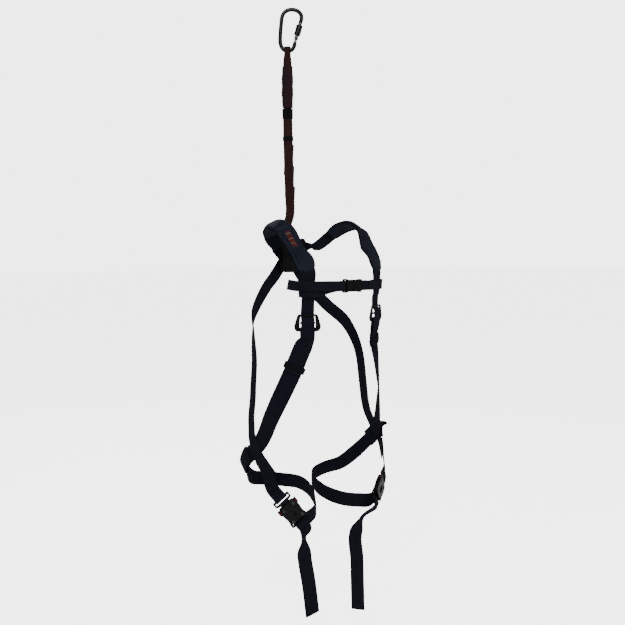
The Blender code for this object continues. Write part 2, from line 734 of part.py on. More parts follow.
def make_shoulder_pad(side):
    """The pad: an open-ended cover with its foam inside, under the strap that runs through it."""
    name = SIDES[side]
    widths = [0.86] + [1] * (len(PAD_RUN) - 2) + [0.82]
    cover = [on(side * x, y, z, 1, w) for (x, y, z), w in zip(PAD_RUN, widths)]
    sleeve(f"pad_cover_{name}", cover, PAD_WIDTH, 14 * MM, 1 * MM, "padding", step=PAD_STEP)
    core = [on(side * x, y, z, 3.2) for x, y, z in PAD_RUN[1:-1]]
    strap(f"pad_foam_{name}", core, PAD_WIDTH - 12 * MM, "foam", PAD_STEP, thick=4.4 * MM)


def adjuster_axes(side):
    """The adjuster's place: its middle on the form, up along the strap, and out."""
    centre, facing = settle([(side * (STRAP_X + 0.001), -0.118, ADJUSTER_HEIGHT[side])])
    out = Vector(facing[0])
    up = (UP - out * out.dot(UP)).normalized()
    return Vector(centre[0]), up, out


FRAME_LOW, FRAME_HIGH = 5.0 * MM, 8.0 * MM       # the adjuster frame's faces above the form
LAID_BELOW = 0.058                               # from here down, the straps follow the form again
LOWER_BAR_UP = -17 * MM                          # its lower bar's middle, along the strap
TAIL_LIFT = 4.8                                  # millimetres, over the torso strap


def make_shoulder_strap(side):
    """From the dorsal plate over the shoulder, through the pad and adjuster, to its free end."""
    layer = 0 if side == RIGHT else 1
    centre, up, out = adjuster_axes(side)

    def by_adjuster(rise, height):
        return at(centre + up * rise * MM + out * height * MM, out, 0.86)

    guides = [
        on_plate(side * 0.004, 0.562, layer),
        on_plate(side * 0.020, 0.583, layer),
        on_plate(side * 0.042, 0.606, layer),
        on(side * 0.066, 0.098, 0.622, 6),
    ]
    guides += [on(side * x, y, z, 9.6) for x, y, z in PAD_RUN[:-1]]
    guides += [
        shoulder_spot(side, -0.118, 0.538, 8.2),
        shoulder_spot(side, -0.118, CHEST_HEIGHT + 0.012, 4.8, 0.9),
        shoulder_spot(side, -0.118, CHEST_HEIGHT - 0.024, 4.8, 0.84),
        shoulder_spot(side, -0.118, ADJUSTER_HEIGHT[side] + 0.044, 2.6, 0.84),
        by_adjuster(24, 2.0),
        by_adjuster(15, 2.4),
        by_adjuster(8, 8.6),
        by_adjuster(3, 10.2),
        by_adjuster(-8, 10.8),
        by_adjuster(-24, 10.8),
        by_adjuster(-41, 8.2),
        on(*torso_line(side, ADJUSTER_HEIGHT[side] - LAID_BELOW), TAIL_LIFT),
        on(*torso_line(side, KEEPER_HEIGHT[side] - 0.013), TAIL_LIFT),
    ]
    strap(f"shoulder_strap_{SIDES[side]}", guides, SHOULDER_WEB, step=PAD_STEP)


def make_adjuster(side):
    """A slotted trapezoid frame with a loose round-edged bar that grips the shoulder strap."""
    name = SIDES[side]
    centre, up, out = adjuster_axes(side)
    across = up.cross(out)
    matrix = Matrix((across, up, out)).transposed().to_4x4()
    matrix.translation = in_part(centre)
    frame = make_empty(f"adjuster_{name}", matrix)
    outline = softened_outline([(-0.024, 0.0205), (0.024, 0.0205), (0.0335, -0.011), (0.028, -0.0215),
                                (-0.028, -0.0215), (-0.0335, -0.011)], 5 * MM)
    window = softened_outline([(-0.0175, 0.0155), (0.0175, 0.0155), (0.0195, 0.0005), (0.0195, -0.013),
                               (-0.0195, -0.013), (-0.0195, 0.0005)], 2 * MM)
    plate(f"adjuster_frame_{name}", outline, [window], FRAME_LOW, FRAME_HIGH, "black_metal", frame,
          bevel=0.6 * MM)
    bm = bmesh.new()
    profile = rounded_outline(5.0 * MM, 4.4 * MM, 1.4 * MM, steps=2)
    half = 18.5 * MM
    rows = [[bm.verts.new((x, y, z)) for y, z in profile] for x in (-half, half)]
    for k in range(len(profile)):
        n = (k + 1) % len(profile)
        bm.faces.new((rows[0][k], rows[0][n], rows[1][n], rows[1][k]))
    bm.faces.new(rows[0])
    bm.faces.new(rows[1])
    spot = Vector((0, -0.5 * MM, 6.9 * MM))
    bmesh.ops.translate(bm, verts=bm.verts, vec=spot)
    add_object(f"adjuster_bar_{name}", bm, "bright_metal", frame, spot)


def torso_line(side, height):
    """A point on the straight run of the torso strap, from below the adjuster to the hip."""
    top, foot = Vector((0.108, -0.113, 0.375)), Vector((0.176, -0.024, 0.125))
    spot = foot.lerp(top, (height - foot.z) / (top.z - foot.z))
    return side * spot.x, spot.y, height


def make_torso_strap(side):
    """From its sewn eye on the adjuster's lower bar, straight down over the side to the hip."""
    name = SIDES[side]
    centre, up, out = adjuster_axes(side)
    bar = centre + up * LOWER_BAR_UP + out * (FRAME_LOW + FRAME_HIGH) / 2
    eye = eye_end(bar, up, out, (FRAME_HIGH - FRAME_LOW) / 2, 4.6 * MM, 24 * MM, sag=0.6 * MM,
                  width=0.8)
    run = [
        on(side * 0.183, 0.022, 0.082, 3.4),
        on(side * 0.180, -0.006, 0.104, 3.4),
    ]
    top = ADJUSTER_HEIGHT[side] - LAID_BELOW
    run += [on(*torso_line(side, 0.130 + (top - 0.130) * i / 4), 2.2) for i in range(5)]
    strap(f"torso_strap_{name}", run + eye, TORSO_WEB, step=15 * MM)
    middle = KEEPER_HEIGHT[side]
    keeper = [on(*torso_line(side, middle - 7 * MM), 0.3), on(*torso_line(side, middle + 7 * MM), 0.3)]
    sleeve(f"strap_keeper_{name}", keeper, 52 * MM, 8.6 * MM, 1 * MM, "elastic", step=40 * MM, places=5)


def make_side_loop(side):
    """The webbing loop at the hip for a positioning rope, folded double beyond the torso strap."""
    if side == RIGHT:
        root, knee, lift = (0.184, 0.012, 0.092), (0.185, 0.026, 0.076), 6.3
        tip, way = Vector((0.191, 0.037, 0.056)), Vector((0.14, 0.55, -0.82))
    else:
        root, knee, lift = (0.179, -0.012, 0.092), (0.179, -0.010, 0.108), 10.8
        tip, way = Vector((0.212, -0.008, 0.128)), Vector((0.70, 0.0, 0.71))
    start, first = (on(side * x, y, z, lift) for x, y, z in (root, knee))
    out = Vector(first.facing)
    way = Vector((side * way.x, way.y, way.z)).normalized()
    normal = (out - way * way.dot(out)).normalized()
    half = 2.6 * MM
    bend = Vector((side * tip.x, tip.y, tip.z))
    fold = wrap(bend, way, normal, half, half)
    above = lift * MM + 2 * PLY + 2 * GAP
    spare = above - lift * MM
    last = at(Vector(first.point) + out * (spare + 1.5 * MM), -out)
    end = at(Vector(start.point) + Vector(start.facing) * spare, -Vector(start.facing))
    strap(f"side_loop_{SIDES[side]}", [start, first] + fold + [last, end], TORSO_WEB, step=22 * MM)


# ---------------------------------------------------------------- chest strap

SOCKET_LOW, SOCKET_HIGH = 5 * MM, 13 * MM        # the chest buckle's faces above the form
CHEST_MIDDLE = (SOCKET_LOW + SOCKET_HIGH) / 2
SOCKET_BAR = -33 * MM                            # the middle of its web bar, from the buckle's middle


def chest_spot(x, lift, drop=0.0, width=1.0):
    return on(x, -0.125, CHEST_HEIGHT - drop, lift, width)


def over_spot(x, lift, drop=0.0):
    """A chest-strap guide whose ply faces inwards from the height given."""
    spot = chest_spot(x, lift, drop)
    return at(spot.point, -spot.facing)


def chest_frame():
    """The chest buckle's own axes: its middle on the form, across the chest, up, and out."""
    middle = chest_spot(CHEST_BUCKLE_X, 0)
    return axes_matrix(Vector(middle.point), (1, 0, 0), middle.facing)


def by_chest_buckle(x, height, facing):
    """A free guide in the chest buckle's axes, whose ply rises from the height or hangs from it."""
    matrix = chest_frame()
    matrix.translation += DORSAL_CENTRE
    return at(matrix @ Vector((x * MM, 0, height * MM)), matrix.to_3x3() @ Vector((0, 0, facing)))


def make_chest_strap(side):
    """One half: its sewn end grips the shoulder strap in a loop; the right half has a free tail."""
    outside, edge, near, root = (side * x for x in (0.118, 0.131, 0.090, 0.068))
    rise, drop = (1.6, CHEST_FAN) if side == RIGHT else (5.2, 0)
    under = [chest_spot(root, rise, drop * 0.7), chest_spot(near, 1.0, drop)]
    under += [chest_spot(side * STRAP_X, 1.0, drop), chest_spot(outside, 1.0, drop)]
    foot = chest_spot(edge, 1.0, drop)
    out = Vector(foot.facing)
    heading = (Vector((side, 0, 0)) - out * side * out.x).normalized()
    half = 2.6 * MM
    bar = Vector(foot.point) + out * (PLY + GAP + half)
    turn = wrap(bar, heading, out, half, 0.5 * MM)
    back = [over_spot(outside, 9.6, drop), over_spot(side * STRAP_X, 9.6, drop)]
    back += [over_spot(near, 9.2, drop), over_spot(root, rise + 4.2, drop * 0.7)]
    if side == LEFT:
        inner = [by_chest_buckle(x, 2.2, 1) for x in (2, 22, 40)]
    else:
        matrix = chest_frame()
        matrix.translation += DORSAL_CENTRE
        middle = matrix @ Vector((SOCKET_BAR, 0, CHEST_MIDDLE))
        normal = matrix.to_3x3() @ Vector((0, 0, -1))
        fold = wrap(middle, Vector((1, 0, 0)), normal, 2 * MM, 2 * MM)
        tail = [over_spot(side * x, lift) for x, lift in ((0.168, 8.5), (0.150, 9.5), (0.132, 12.2),
                                                          (0.104, 12.2), (0.086, 11.8), (0.056, 10.4))]
        inner = tail + fold + [chest_spot(side * 0.045, 1.6, drop * 0.3)]
    strap(f"chest_strap_{SIDES[side]}", inner + under + turn + back, CHEST_WEB, step=10 * MM,
          origin=under[-1].point)


def make_chest_buckle():
    """The socket hangs on the right strap's fold; the plug slides along the left strap."""
    frame = make_empty("chest_buckle", chest_frame())
    outline = softened_outline([(-35 * MM, -17 * MM), (-35 * MM, 17 * MM), (-24 * MM, 17 * MM),
                                (-20 * MM, 14.5 * MM), (6.5 * MM, 14.5 * MM), (6.5 * MM, -14.5 * MM),
                                (-20 * MM, -14.5 * MM), (-24 * MM, -17 * MM)], 4 * MM)
    slot = rounded_outline(6 * MM, 27 * MM, 1.5 * MM, (SOCKET_BAR + 5 * MM, 0), 2)
    socket = plate("chest_buckle_socket", outline, [slot], SOCKET_LOW, SOCKET_HIGH, "black_plastic",
                   frame, (-9 * MM, 0, CHEST_MIDDLE), 0.8 * MM)
    mouth = box_object("socket_mouth", (-15 * MM, -10.5 * MM, 6.8 * MM), (30 * MM, 10.5 * MM, 11.2 * MM),
                       "black_plastic", frame)
    cut(socket, mouth)
    for name, low, high in (("under_bar", 0, CHEST_MIDDLE - 2 * MM), ("over_bar", CHEST_MIDDLE + 2 * MM, 0.02)):
        cut(socket, box_object(name, (-0.04, -13.5 * MM, low), (SOCKET_BAR + 4 * MM, 13.5 * MM, high),
                               "black_plastic", frame))
    tongue = softened_outline([(-12 * MM, -4 * MM), (-12 * MM, 4 * MM), (-6 * MM, 9.6 * MM),
                               (8 * MM, 9.6 * MM), (8 * MM, 16 * MM), (22 * MM, 16 * MM),
                               (22 * MM, -16 * MM), (8 * MM, -16 * MM), (8 * MM, -9.6 * MM),
                               (-6 * MM, -9.6 * MM)], 2 * MM)
    gap = rounded_outline(7 * MM, 9 * MM, 2 * MM, (-2 * MM, 0), 2)
    plug = plate("chest_buckle_plug", tongue, [gap], 7.2 * MM, 10.8 * MM, "black_plastic", frame,
                 (8 * MM, 0, CHEST_MIDDLE))
    keeper = box_object("plug_keeper", (12 * MM, -15.4 * MM, 0.4 * MM), (20 * MM, 15.4 * MM, 9 * MM),
                        "black_plastic", frame)
    passage = box_object("plug_passage", (0, -13.4 * MM, 1.5 * MM), (0.04, 13.4 * MM, 5.2 * MM),
                         "black_plastic", frame)
    cut(plug, keeper).operation = "UNION"
    cut(plug, passage)


# ---------------------------------------------------------------- leg buckles

PLATE_LOW, PLATE_TOP = 1.2 * MM, 13.6 * MM       # outer faces of the two plates above the thigh
PLATE_SHEET = 2.4 * MM
RIVET_PLACES = {"front": (-18.5 * MM, -15 * MM), "rear": (18.5 * MM, 15 * MM)}
RIVET_SHAFT = 2.7 * MM
BUCKLE_MIDDLE = (PLATE_LOW + PLATE_TOP) / 2
TONGUE_HALF = 1.7 * MM
TONGUE_BAR = -47 * MM                            # the tongue's outer bar, along the buckle
WEB_BAR = 31 * MM                                # the bar for the leg loop, along the buckle


def leg_buckle_axes(side):
    """The buckle's place on the thigh: its middle, its long way towards the inner thigh, and out."""
    turn, height, tilt = LEG_BUCKLE_PLACE[side]
    turn, tilt = math.radians(turn), math.radians(tilt)
    out = Vector((side * math.sin(turn), -math.cos(turn), 0))
    middle = Vector((side * THIGH_X, 0, height)) + out * THIGH_RADIUS
    inward = Vector((-side * math.cos(turn), -math.sin(turn), 0))
    along = inward * math.cos(tilt) - UP * math.sin(tilt)
    return middle, along, out


def leg_point(side, along, out):
    middle, way, normal = leg_buckle_axes(side)
    return middle + way * along + normal * out


def make_leg_buckle(side):
    name = SIDES[side]
    middle, along, out = leg_buckle_axes(side)
    frame = make_empty(f"leg_buckle_{name}", axes_matrix(middle, along, out))
    cover = softened_outline([(-28 * MM, -22 * MM), (-28 * MM, 22 * MM), (-6 * MM, 25 * MM),
                              (10 * MM, 22 * MM), (28 * MM, 26 * MM), (28 * MM, -26 * MM),
                              (10 * MM, -22 * MM), (-6 * MM, -25 * MM)], 7 * MM)
    base = softened_outline([(-28 * MM, -22 * MM), (-28 * MM, 22 * MM), (-6 * MM, 25 * MM),
                             (10 * MM, 22 * MM), (28 * MM, 26 * MM), (35 * MM, 26 * MM),
                             (35 * MM, -26 * MM), (28 * MM, -26 * MM), (10 * MM, -22 * MM),
                             (-6 * MM, -25 * MM)], 7 * MM)
    rivet_spots = [(x, y) for x in RIVET_PLACES["front"][:1] + RIVET_PLACES["rear"][:1]
                   for y in (-15 * MM, 15 * MM)]
    bores = [round_outline(RIVET_SHAFT + GAP, spot) for spot in rivet_spots]
    window = rounded_outline(16 * MM, 8 * MM, 3.5 * MM, (0, 0))
    web_slot = rounded_outline(5.4 * MM, 40 * MM, 2 * MM, (WEB_BAR - 5 * MM, 0))
    plate(f"buckle_back_plate_{name}", base, bores + [web_slot], PLATE_LOW, PLATE_LOW + PLATE_SHEET,
          "black_metal", frame, bevel=0.5 * MM)
    plate(f"buckle_front_plate_{name}", front_cover(cover), bores + [window], PLATE_TOP - PLATE_SHEET,
          PLATE_TOP, "black_metal", frame, bevel=0.5 * MM)
    for i, (x, y) in enumerate(rivet_spots):
        make_rivet(f"buckle_rivet_{name}_{i + 1}", frame, x, y)
    make_tongue(name, frame)
    for half in (-1, 1):
        make_lever(name, frame, half)


def front_cover(outline):
    """The front plate stops short of the web bar, which only the back plate carries."""
    limit = 22 * MM
    return [(min(x, limit), y) for x, y in outline if x <= limit + 5 * MM]


def make_rivet(name, frame, x, y):
    head, rise = 4.3 * MM, 1.1 * MM
    low, high = PLATE_LOW - GAP, PLATE_TOP + GAP
    profile = [(0, low - rise), (head * 0.7, low - rise), (head, low - 0.3 * rise), (head, low),
               (RIVET_SHAFT, low), (RIVET_SHAFT, high), (head, high), (head, high + 0.3 * rise),
               (head * 0.7, high + rise), (0, high + rise)]
    spot = Vector((x, y, 0))
    turned(name, profile, "grey_metal", frame, Matrix.Translation(spot), spot)


def make_tongue(name, frame):
    """The flat tongue: a blade between the plates and a wide slotted end for the leg strap."""
    blade, wide = 10.5 * MM, 24 * MM
    outline = softened_outline([(-50 * MM, -wide), (-50 * MM, wide), (-35 * MM, wide), (-31 * MM, blade),
                                (4 * MM, blade), (9 * MM, 6 * MM), (9 * MM, -6 * MM), (4 * MM, -blade),
                                (-31 * MM, -blade), (-35 * MM, -wide)], 3.5 * MM, 3)
    slot = rounded_outline(5.6 * MM, 39 * MM, 2 * MM, (TONGUE_BAR + 5.6 * MM, 0))
    plate(f"buckle_tongue_{name}", outline, [slot], BUCKLE_MIDDLE - TONGUE_HALF,
          BUCKLE_MIDDLE + TONGUE_HALF, "black_metal", frame, (TONGUE_BAR, 0, BUCKLE_MIDDLE), 0.4 * MM)


def make_lever(name, frame, half):
    """A release lever that turns on a rear rivet: its nose by the blade, its tab by the front rivet."""
    y = lambda value: half * value * MM
    pivot_x = RIVET_PLACES["rear"][0]
    corners = [(-9 * MM, y(11.6)), (-11 * MM, y(18.8)), (-25 * MM, y(19.4)), (-27 * MM, y(28)),
               (-15 * MM, y(29)), (-8 * MM, y(23)), (17 * MM, y(22)), (23 * MM, y(19.5)), (23 * MM, y(10.5)),
               (14 * MM, y(10.5)), (0, y(13))]
    outline = softened_outline(corners, 2 * MM)
    bore = round_outline(RIVET_SHAFT + GAP, (pivot_x, half * 15 * MM))
    label = "upper" if half > 0 else "lower"
    plate(f"release_lever_{name}_{label}", outline, [bore], BUCKLE_MIDDLE - 3.4 * MM,
          BUCKLE_MIDDLE + 3.4 * MM, "black_plastic", frame, (pivot_x, half * 15 * MM, BUCKLE_MIDDLE),
          0.4 * MM)


# ---------------------------------------------------------------- leg webbing

def make_leg_strap(side):
    """From the hip crossing, over the back strap's end, to its eye on the buckle's tongue."""
    along, out = leg_buckle_axes(side)[1:]
    bar = leg_point(side, TONGUE_BAR, BUCKLE_MIDDLE)
    eye = eye_end(bar, along, out, TONGUE_HALF, 3.2 * MM, 24 * MM, sag=2.5 * MM)
    run = [
        on(side * 0.1765, -0.028, 0.087, 8.4),
        on(side * 0.171, -0.042, 0.066, 7.4),
    ]
    strap(f"leg_strap_{SIDES[side]}", run + eye, BACK_WEB, step=15 * MM)


def thigh_spot(side, turn, height, lift, width=1.0):
    """A guide on the thigh: turn is counted from its front towards the outer side, in degrees."""
    turn = math.radians(turn)
    out = Vector((side * math.sin(turn), -math.cos(turn), 0))
    centre = Vector((side * THIGH_X, THIGH_BACK, height))
    return at(centre + out * (THIGH_RADIUS + lift * MM), out, width)


def make_leg_loop(side):
    """From the buckle's web bar round the inner thigh, under the seat and up to the hip crossing."""
    along, out = leg_buckle_axes(side)[1:]
    bar = leg_point(side, WEB_BAR + 0.9 * MM, PLATE_LOW + PLATE_SHEET / 2)
    turn = leg_bar_turn(bar, -along, out)
    front = LEG_BUCKLE_PLACE[side][0]
    height = LEG_BUCKLE_PLACE[side][1]
    guides = turn + [
        thigh_spot(side, front - 48, height - 0.016, 12),
        thigh_spot(side, front - 70, height - 0.012, 7),
        thigh_spot(side, -80, -0.026, 1),
        thigh_spot(side, -110, -0.012, 1),
        thigh_spot(side, -145, -0.008, 1),
        thigh_spot(side, -180, 0.000, 1),
        at(Vector((side * 0.140, 0.080, 0.012)), Vector((side * 0.5, 0.86, 0))),
        at(Vector((side * 0.169, 0.058, 0.040)), Vector((side * 0.8, 0.6, 0))),
        on(side * 0.183, 0.022, 0.078, 1),
        on(side * 0.184, 0.004, 0.094, 1),
    ]
    strap(f"leg_loop_{SIDES[side]}", guides, LEG_WEB, step=18 * MM)


def leg_bar_turn(bar, heading, normal):
    """The short sewn end over the web bar, through the slot and back under it."""
    half = PLATE_SHEET / 2
    fold = wrap(bar, heading, -normal, half, 3.3 * MM)
    return [at(bar - heading * 10 * MM + normal * (half + GAP + PLY), -normal)] + fold


def make_leg_tail(side):
    """The free end of the leg webbing, hanging with a half twist from the web bar."""
    name = SIDES[side]
    along, out = leg_buckle_axes(side)[1:]
    top = leg_point(side, WEB_BAR + 3 * MM, PLATE_LOW + PLATE_SHEET + 2 * PLY + 4 * MM)
    if side == RIGHT:
        drift, lean, drop = Vector((0.004, -0.004, 0)), Vector((0.032, 0.0, 0)), 0.238
    else:
        drift, lean, drop = Vector((-0.058, 0.014, 0)), Vector((-0.055, 0.008, 0)), 0.282
    face, slack = Vector((-0.30, -0.95, 0)), Vector((0.55, -0.83, 0))
    guides = [
        at(top, out),
        at(top + along * 12 * MM + out * 2 * MM - UP * 4 * MM, out - UP * 0.2, 0.9),
        at(top + drift * 0.7 - UP * 0.040, slack, 0.80),
        at(top + drift - UP * 0.080, face),
        at(top + drift.lerp(lean, 0.5) - UP * 0.150, face),
        at(top + lean - UP * drop, face),
    ]
    strap(f"leg_tail_{name}", guides, LEG_WEB, step=30 * MM, slant=-side * 0.25)


def build():
    clear_scene()
    make_tether()
    make_carabiner()
    make_dorsal()
    make_dorsal_loop()
    make_chest_buckle()
    for side in SIDES:
        make_chest_strap(side)
        make_back_strap(side)
        make_shoulder_pad(side)
        make_shoulder_strap(side)
        make_adjuster(side)
        make_torso_strap(side)
        make_side_loop(side)
        make_leg_buckle(side)
        make_leg_strap(side)
        make_leg_loop(side)
        make_leg_tail(side)


build()
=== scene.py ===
"""The harness vest's looks: sewn webbing, padding, thread and worn metal laid round its CAD frame.

Metres, +Z up, the wearer faces -Y and the wearer's left is +X. A strap's path is worked out in the
wearer's frame, whose origin is the crotch point on the body's axis, and moved into the part's frame
when a piece is made.
"""

import json
import math

import bpy
import numpy as np
from mathutils import Matrix, Vector
from mathutils.bvhtree import BVHTree

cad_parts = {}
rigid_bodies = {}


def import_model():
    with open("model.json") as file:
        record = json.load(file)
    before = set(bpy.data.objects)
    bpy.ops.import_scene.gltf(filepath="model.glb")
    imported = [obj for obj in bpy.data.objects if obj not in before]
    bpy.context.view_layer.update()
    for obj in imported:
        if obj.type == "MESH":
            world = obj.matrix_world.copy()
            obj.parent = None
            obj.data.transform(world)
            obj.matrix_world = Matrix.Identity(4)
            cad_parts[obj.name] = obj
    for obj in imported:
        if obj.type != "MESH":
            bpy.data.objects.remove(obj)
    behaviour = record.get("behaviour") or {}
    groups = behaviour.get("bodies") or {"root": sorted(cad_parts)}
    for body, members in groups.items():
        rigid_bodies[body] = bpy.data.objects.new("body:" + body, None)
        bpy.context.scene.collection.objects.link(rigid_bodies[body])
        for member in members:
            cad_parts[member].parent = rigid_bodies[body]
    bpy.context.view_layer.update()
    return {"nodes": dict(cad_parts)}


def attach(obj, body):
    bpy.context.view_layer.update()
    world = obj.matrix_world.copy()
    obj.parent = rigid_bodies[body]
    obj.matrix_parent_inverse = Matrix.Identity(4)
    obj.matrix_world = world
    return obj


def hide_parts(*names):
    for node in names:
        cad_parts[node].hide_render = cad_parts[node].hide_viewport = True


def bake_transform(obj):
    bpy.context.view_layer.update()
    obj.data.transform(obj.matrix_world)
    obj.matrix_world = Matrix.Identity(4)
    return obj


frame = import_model()

RUNS = {}                           # each strap's guides, width, slant and thickness, by CAD node

MM = 0.001
GAP = 0.3 * MM                      # clearance between neighbouring pieces
PLY = 1.8 * MM                      # thickness of the webbing
UP = Vector((0, 0, 1))
BACKWARD = Vector((0, 1, 0))
DORSAL_CENTRE = Vector((0, 0.118, 0.575))   # dorsal plate's inner face, in the wearer's frame
SHOULDER_WEB = 38 * MM
TORSO_WEB = 45 * MM
BACK_WEB = 32 * MM
LEG_WEB = 36 * MM
CHEST_WEB = 25 * MM
TETHER_WEB = 25 * MM
PAD_WIDTH = 56 * MM
STRAP_X = 0.104                     # distance of the front straps from the middle
CHEST_HEIGHT = 0.508
CHEST_BUCKLE_X = 0.020
CHEST_FAN = 0.015                   # how far the right half's sewn end hangs below its free tail
THIGH_X = 0.100
THIGH_RADIUS = 0.083
THIGH_BACK = 0.014                  # the thigh's middle under the leg loops, behind the buckles'
RIGHT, LEFT = -1, 1
SIDES = {RIGHT: "right", LEFT: "left"}
ADJUSTER_HEIGHT = {RIGHT: 0.421, LEFT: 0.437}
KEEPER_HEIGHT = {RIGHT: 0.312, LEFT: 0.368}
LEG_BUCKLE_PLACE = {RIGHT: (18, -0.042, 50), LEFT: (33, -0.030, 35)}   # turn, height, tilt in degrees
FORM_SECTIONS = (                   # height, half width, half depth and shift backwards
    (-0.05, 0.178, 0.118, 0.012),
    (0.10, 0.184, 0.120, 0.012),
    (0.40, 0.157, 0.124, 0.000),
    (0.52, 0.174, 0.128, 0.000),
    (0.64, 0.160, 0.100, 0.000),
)
FORM_POWER = 2.6                    # how square the torso's outline is; an ellipse has 2
SHOULDER_LINE = 0.58                # the torso ends here, rounded into the yoke
YOKE = ((0.055, 0, 0.610), (0.165, 0.01, 0.560), 0.062)     # both ends of a shoulder, and its radius
NECK_FORM = ((0, 0.01, 0.60), (0, 0, 0.80), 0.056)
SETTLE_STEPS = 12


def in_part(point):
    """A point of the wearer's frame in the part's frame."""
    return Vector(point) - DORSAL_CENTRE


def soft_min(a, b, reach):
    """The smaller of two distances, blended where they are within reach of each other."""
    h = np.clip(0.5 + 0.5 * (b - a) / reach, 0, 1)
    return b * (1 - h) + a * h - reach * h * (1 - h)


def bar_distance(p, start, end, radius):
    """Distance of points from a round-ended bar."""
    start, end = np.array(start), np.array(end)
    along = end - start
    t = np.clip(((p - start) @ along) / (along @ along), 0, 1)
    return np.linalg.norm(p - (start + t[..., None] * along), axis=-1) - radius


def form_distance(p):
    """Distance of points from the form: a torso with shoulders, a neck and two thighs."""
    heights, widths, depths, shifts = (np.array(row) for row in zip(*FORM_SECTIONS))
    x, z = p[..., 0], p[..., 2]
    y = p[..., 1] - np.interp(z, heights, shifts)
    a, b = np.interp(z, heights, widths), np.interp(z, heights, depths)
    radius = np.hypot(x, y) + 1e-9
    swell = (np.abs(x / a) ** FORM_POWER + np.abs(y / b) ** FORM_POWER) ** (1 / FORM_POWER) + 1e-9
    torso = -soft_min(radius / swell - radius, SHOULDER_LINE - z, 0.03)
    torso = -soft_min(-torso, z, 0.03)
    for side in SIDES:
        start, end = (np.array(spot) * (side, 1, 1) for spot in YOKE[:2])
        yoke = bar_distance(p, start, end, YOKE[2])
        thigh = bar_distance(p, (side * THIGH_X, 0, 0.06), (side * THIGH_X, 0, -0.5), THIGH_RADIUS)
        torso = soft_min(soft_min(torso, yoke, 0.05), thigh, 0.02)
    return soft_min(torso, bar_distance(p, *NECK_FORM), 0.04)


def form_slope(p, step=0.1 * MM):
    """Which way, and how fast, the distance from the form grows."""
    ups = [form_distance(p + step * axis) - form_distance(p - step * axis) for axis in np.eye(3)]
    return np.stack(ups, axis=-1) / (2 * step)


def settle(points):
    """The nearest points on the form, and the outward directions there."""
    p = np.array(points, float)
    for _ in range(SETTLE_STEPS):
        slope = form_slope(p)
        p = p - slope * (form_distance(p) / np.sum(slope * slope, axis=-1))[..., None]
    slope = form_slope(p)
    return p, slope / np.linalg.norm(slope, axis=-1)[..., None]


class Guide:
    """One point of a strap's middle line, on its inner face, and which way the strap is thick.

    lift is its height above the form, and cling says how closely the strap follows the form there.
    """

    def __init__(self, point, facing, lift, cling, width=1.0):
        self.point, self.facing = np.array(point, float), np.array(facing, float)
        self.lift, self.cling, self.width = lift, cling, width


def on(x, y, z, lift, width=1.0):
    """A guide laid on the form near a point, its inner face lifted off by so many millimetres."""
    base, facing = settle([(x, y, z)])
    return Guide(base[0] + facing[0] * lift * MM, facing[0], lift * MM, 1.0, width)


def at(point, facing, width=1.0):
    """A free guide whose inner face is at the point."""
    base, out = settle([tuple(point)])
    height = float((np.array(point) - base[0]) @ out[0])
    return Guide(point, Vector(facing).normalized(), height, 0.0, width)


def wrap(bar, heading, normal, half_n, half_t, width=1.0):
    """Guides round a bar: in under its inner side, round its far side and out over its outer side.

    half_n and half_t are half the bar's size along the normal and the heading.
    """
    off = GAP + PLY
    guides = []
    for side in (-1, 1):
        turns = (0, math.pi / 4, math.pi / 2) if side < 0 else (math.pi / 2, math.pi / 4, 0)
        for turn in turns:
            c, s = math.cos(turn), math.sin(turn)
            point = bar + normal * side * (half_n + off * c) + heading * (half_t + off * s)
            guides.append(at(point, normal * -side * c - heading * s, width))
    return guides


def eye_end(bar, heading, normal, half, bar_half, length, sag=0.0, width=1.0):
    """A strap's sewn end round a bar: main ply, the turn, and the outer ply laid back on the main one.

    half is half the bar's thickness, bar_half half its width along the heading, and sag how far the
    strap has dropped below the bar's level at the eye's root.
    """
    reach_n = half + GAP + PLY
    root = bar - heading * length - normal * (reach_n + sag)
    lean = (normal * length - heading * sag).normalized()
    beside = bar - heading * (bar_half + 1 * MM)
    return (
        [at(root, lean, width), at(beside - normal * reach_n, normal, width)]
        + wrap(bar, heading, normal, half, bar_half, width)
        + [at(beside + normal * reach_n, -normal, width)]
        + [at(root + lean * (2 * PLY + 2 * GAP) + heading * 2 * MM, -lean, width)]
    )


def catmull(p0, p1, p2, p3, t):
    """A Catmull-Rom curve between p1 and p2, its ends eased by the lengths of the neighbouring spans."""
    d1 = max(np.linalg.norm(p2 - p1), 1e-6)
    d0, d2 = max(np.linalg.norm(p1 - p0), 1e-6), max(np.linalg.norm(p3 - p2), 1e-6)
    m1 = (p2 - p1) / d1 - (p2 - p0) / (d0 + d1) + (p1 - p0) / d0
    m2 = (p3 - p2) / d2 - (p3 - p1) / (d1 + d2) + (p2 - p1) / d1
    m1, m2 = m1 * d1, m2 * d1
    t2, t3 = t * t, t * t * t
    return (
        (2 * t3 - 3 * t2 + 1) * p1 + (t3 - 2 * t2 + t) * m1 + (3 * t2 - 2 * t3) * p2 + (t3 - t2) * m2
    )


def stations(guides, step):
    """The guides with more filled in between them, about a step apart."""
    spots = []
    count = len(guides)
    for i in range(count - 1):
        a, b = guides[i], guides[i + 1]
        before = guides[i - 1].point if i else 2 * a.point - b.point
        after = guides[i + 2].point if i + 2 < count else 2 * b.point - a.point
        pieces = max(1, int(np.linalg.norm(b.point - a.point) / step + 0.5))
        for k in range(pieces):
            t = k / pieces
            ease = t * t * (3 - 2 * t)
            mix = lambda u, v, w: u * (1 - w) + v * w
            facing = mix(a.facing, b.facing, ease)
            spots.append(
                Guide(
                    catmull(before, a.point, b.point, after, t),
                    facing / np.linalg.norm(facing),
                    mix(a.lift, b.lift, ease),
                    mix(a.cling, b.cling, ease),
                    mix(a.width, b.width, ease),
                )
            )
    return spots + [guides[-1]]


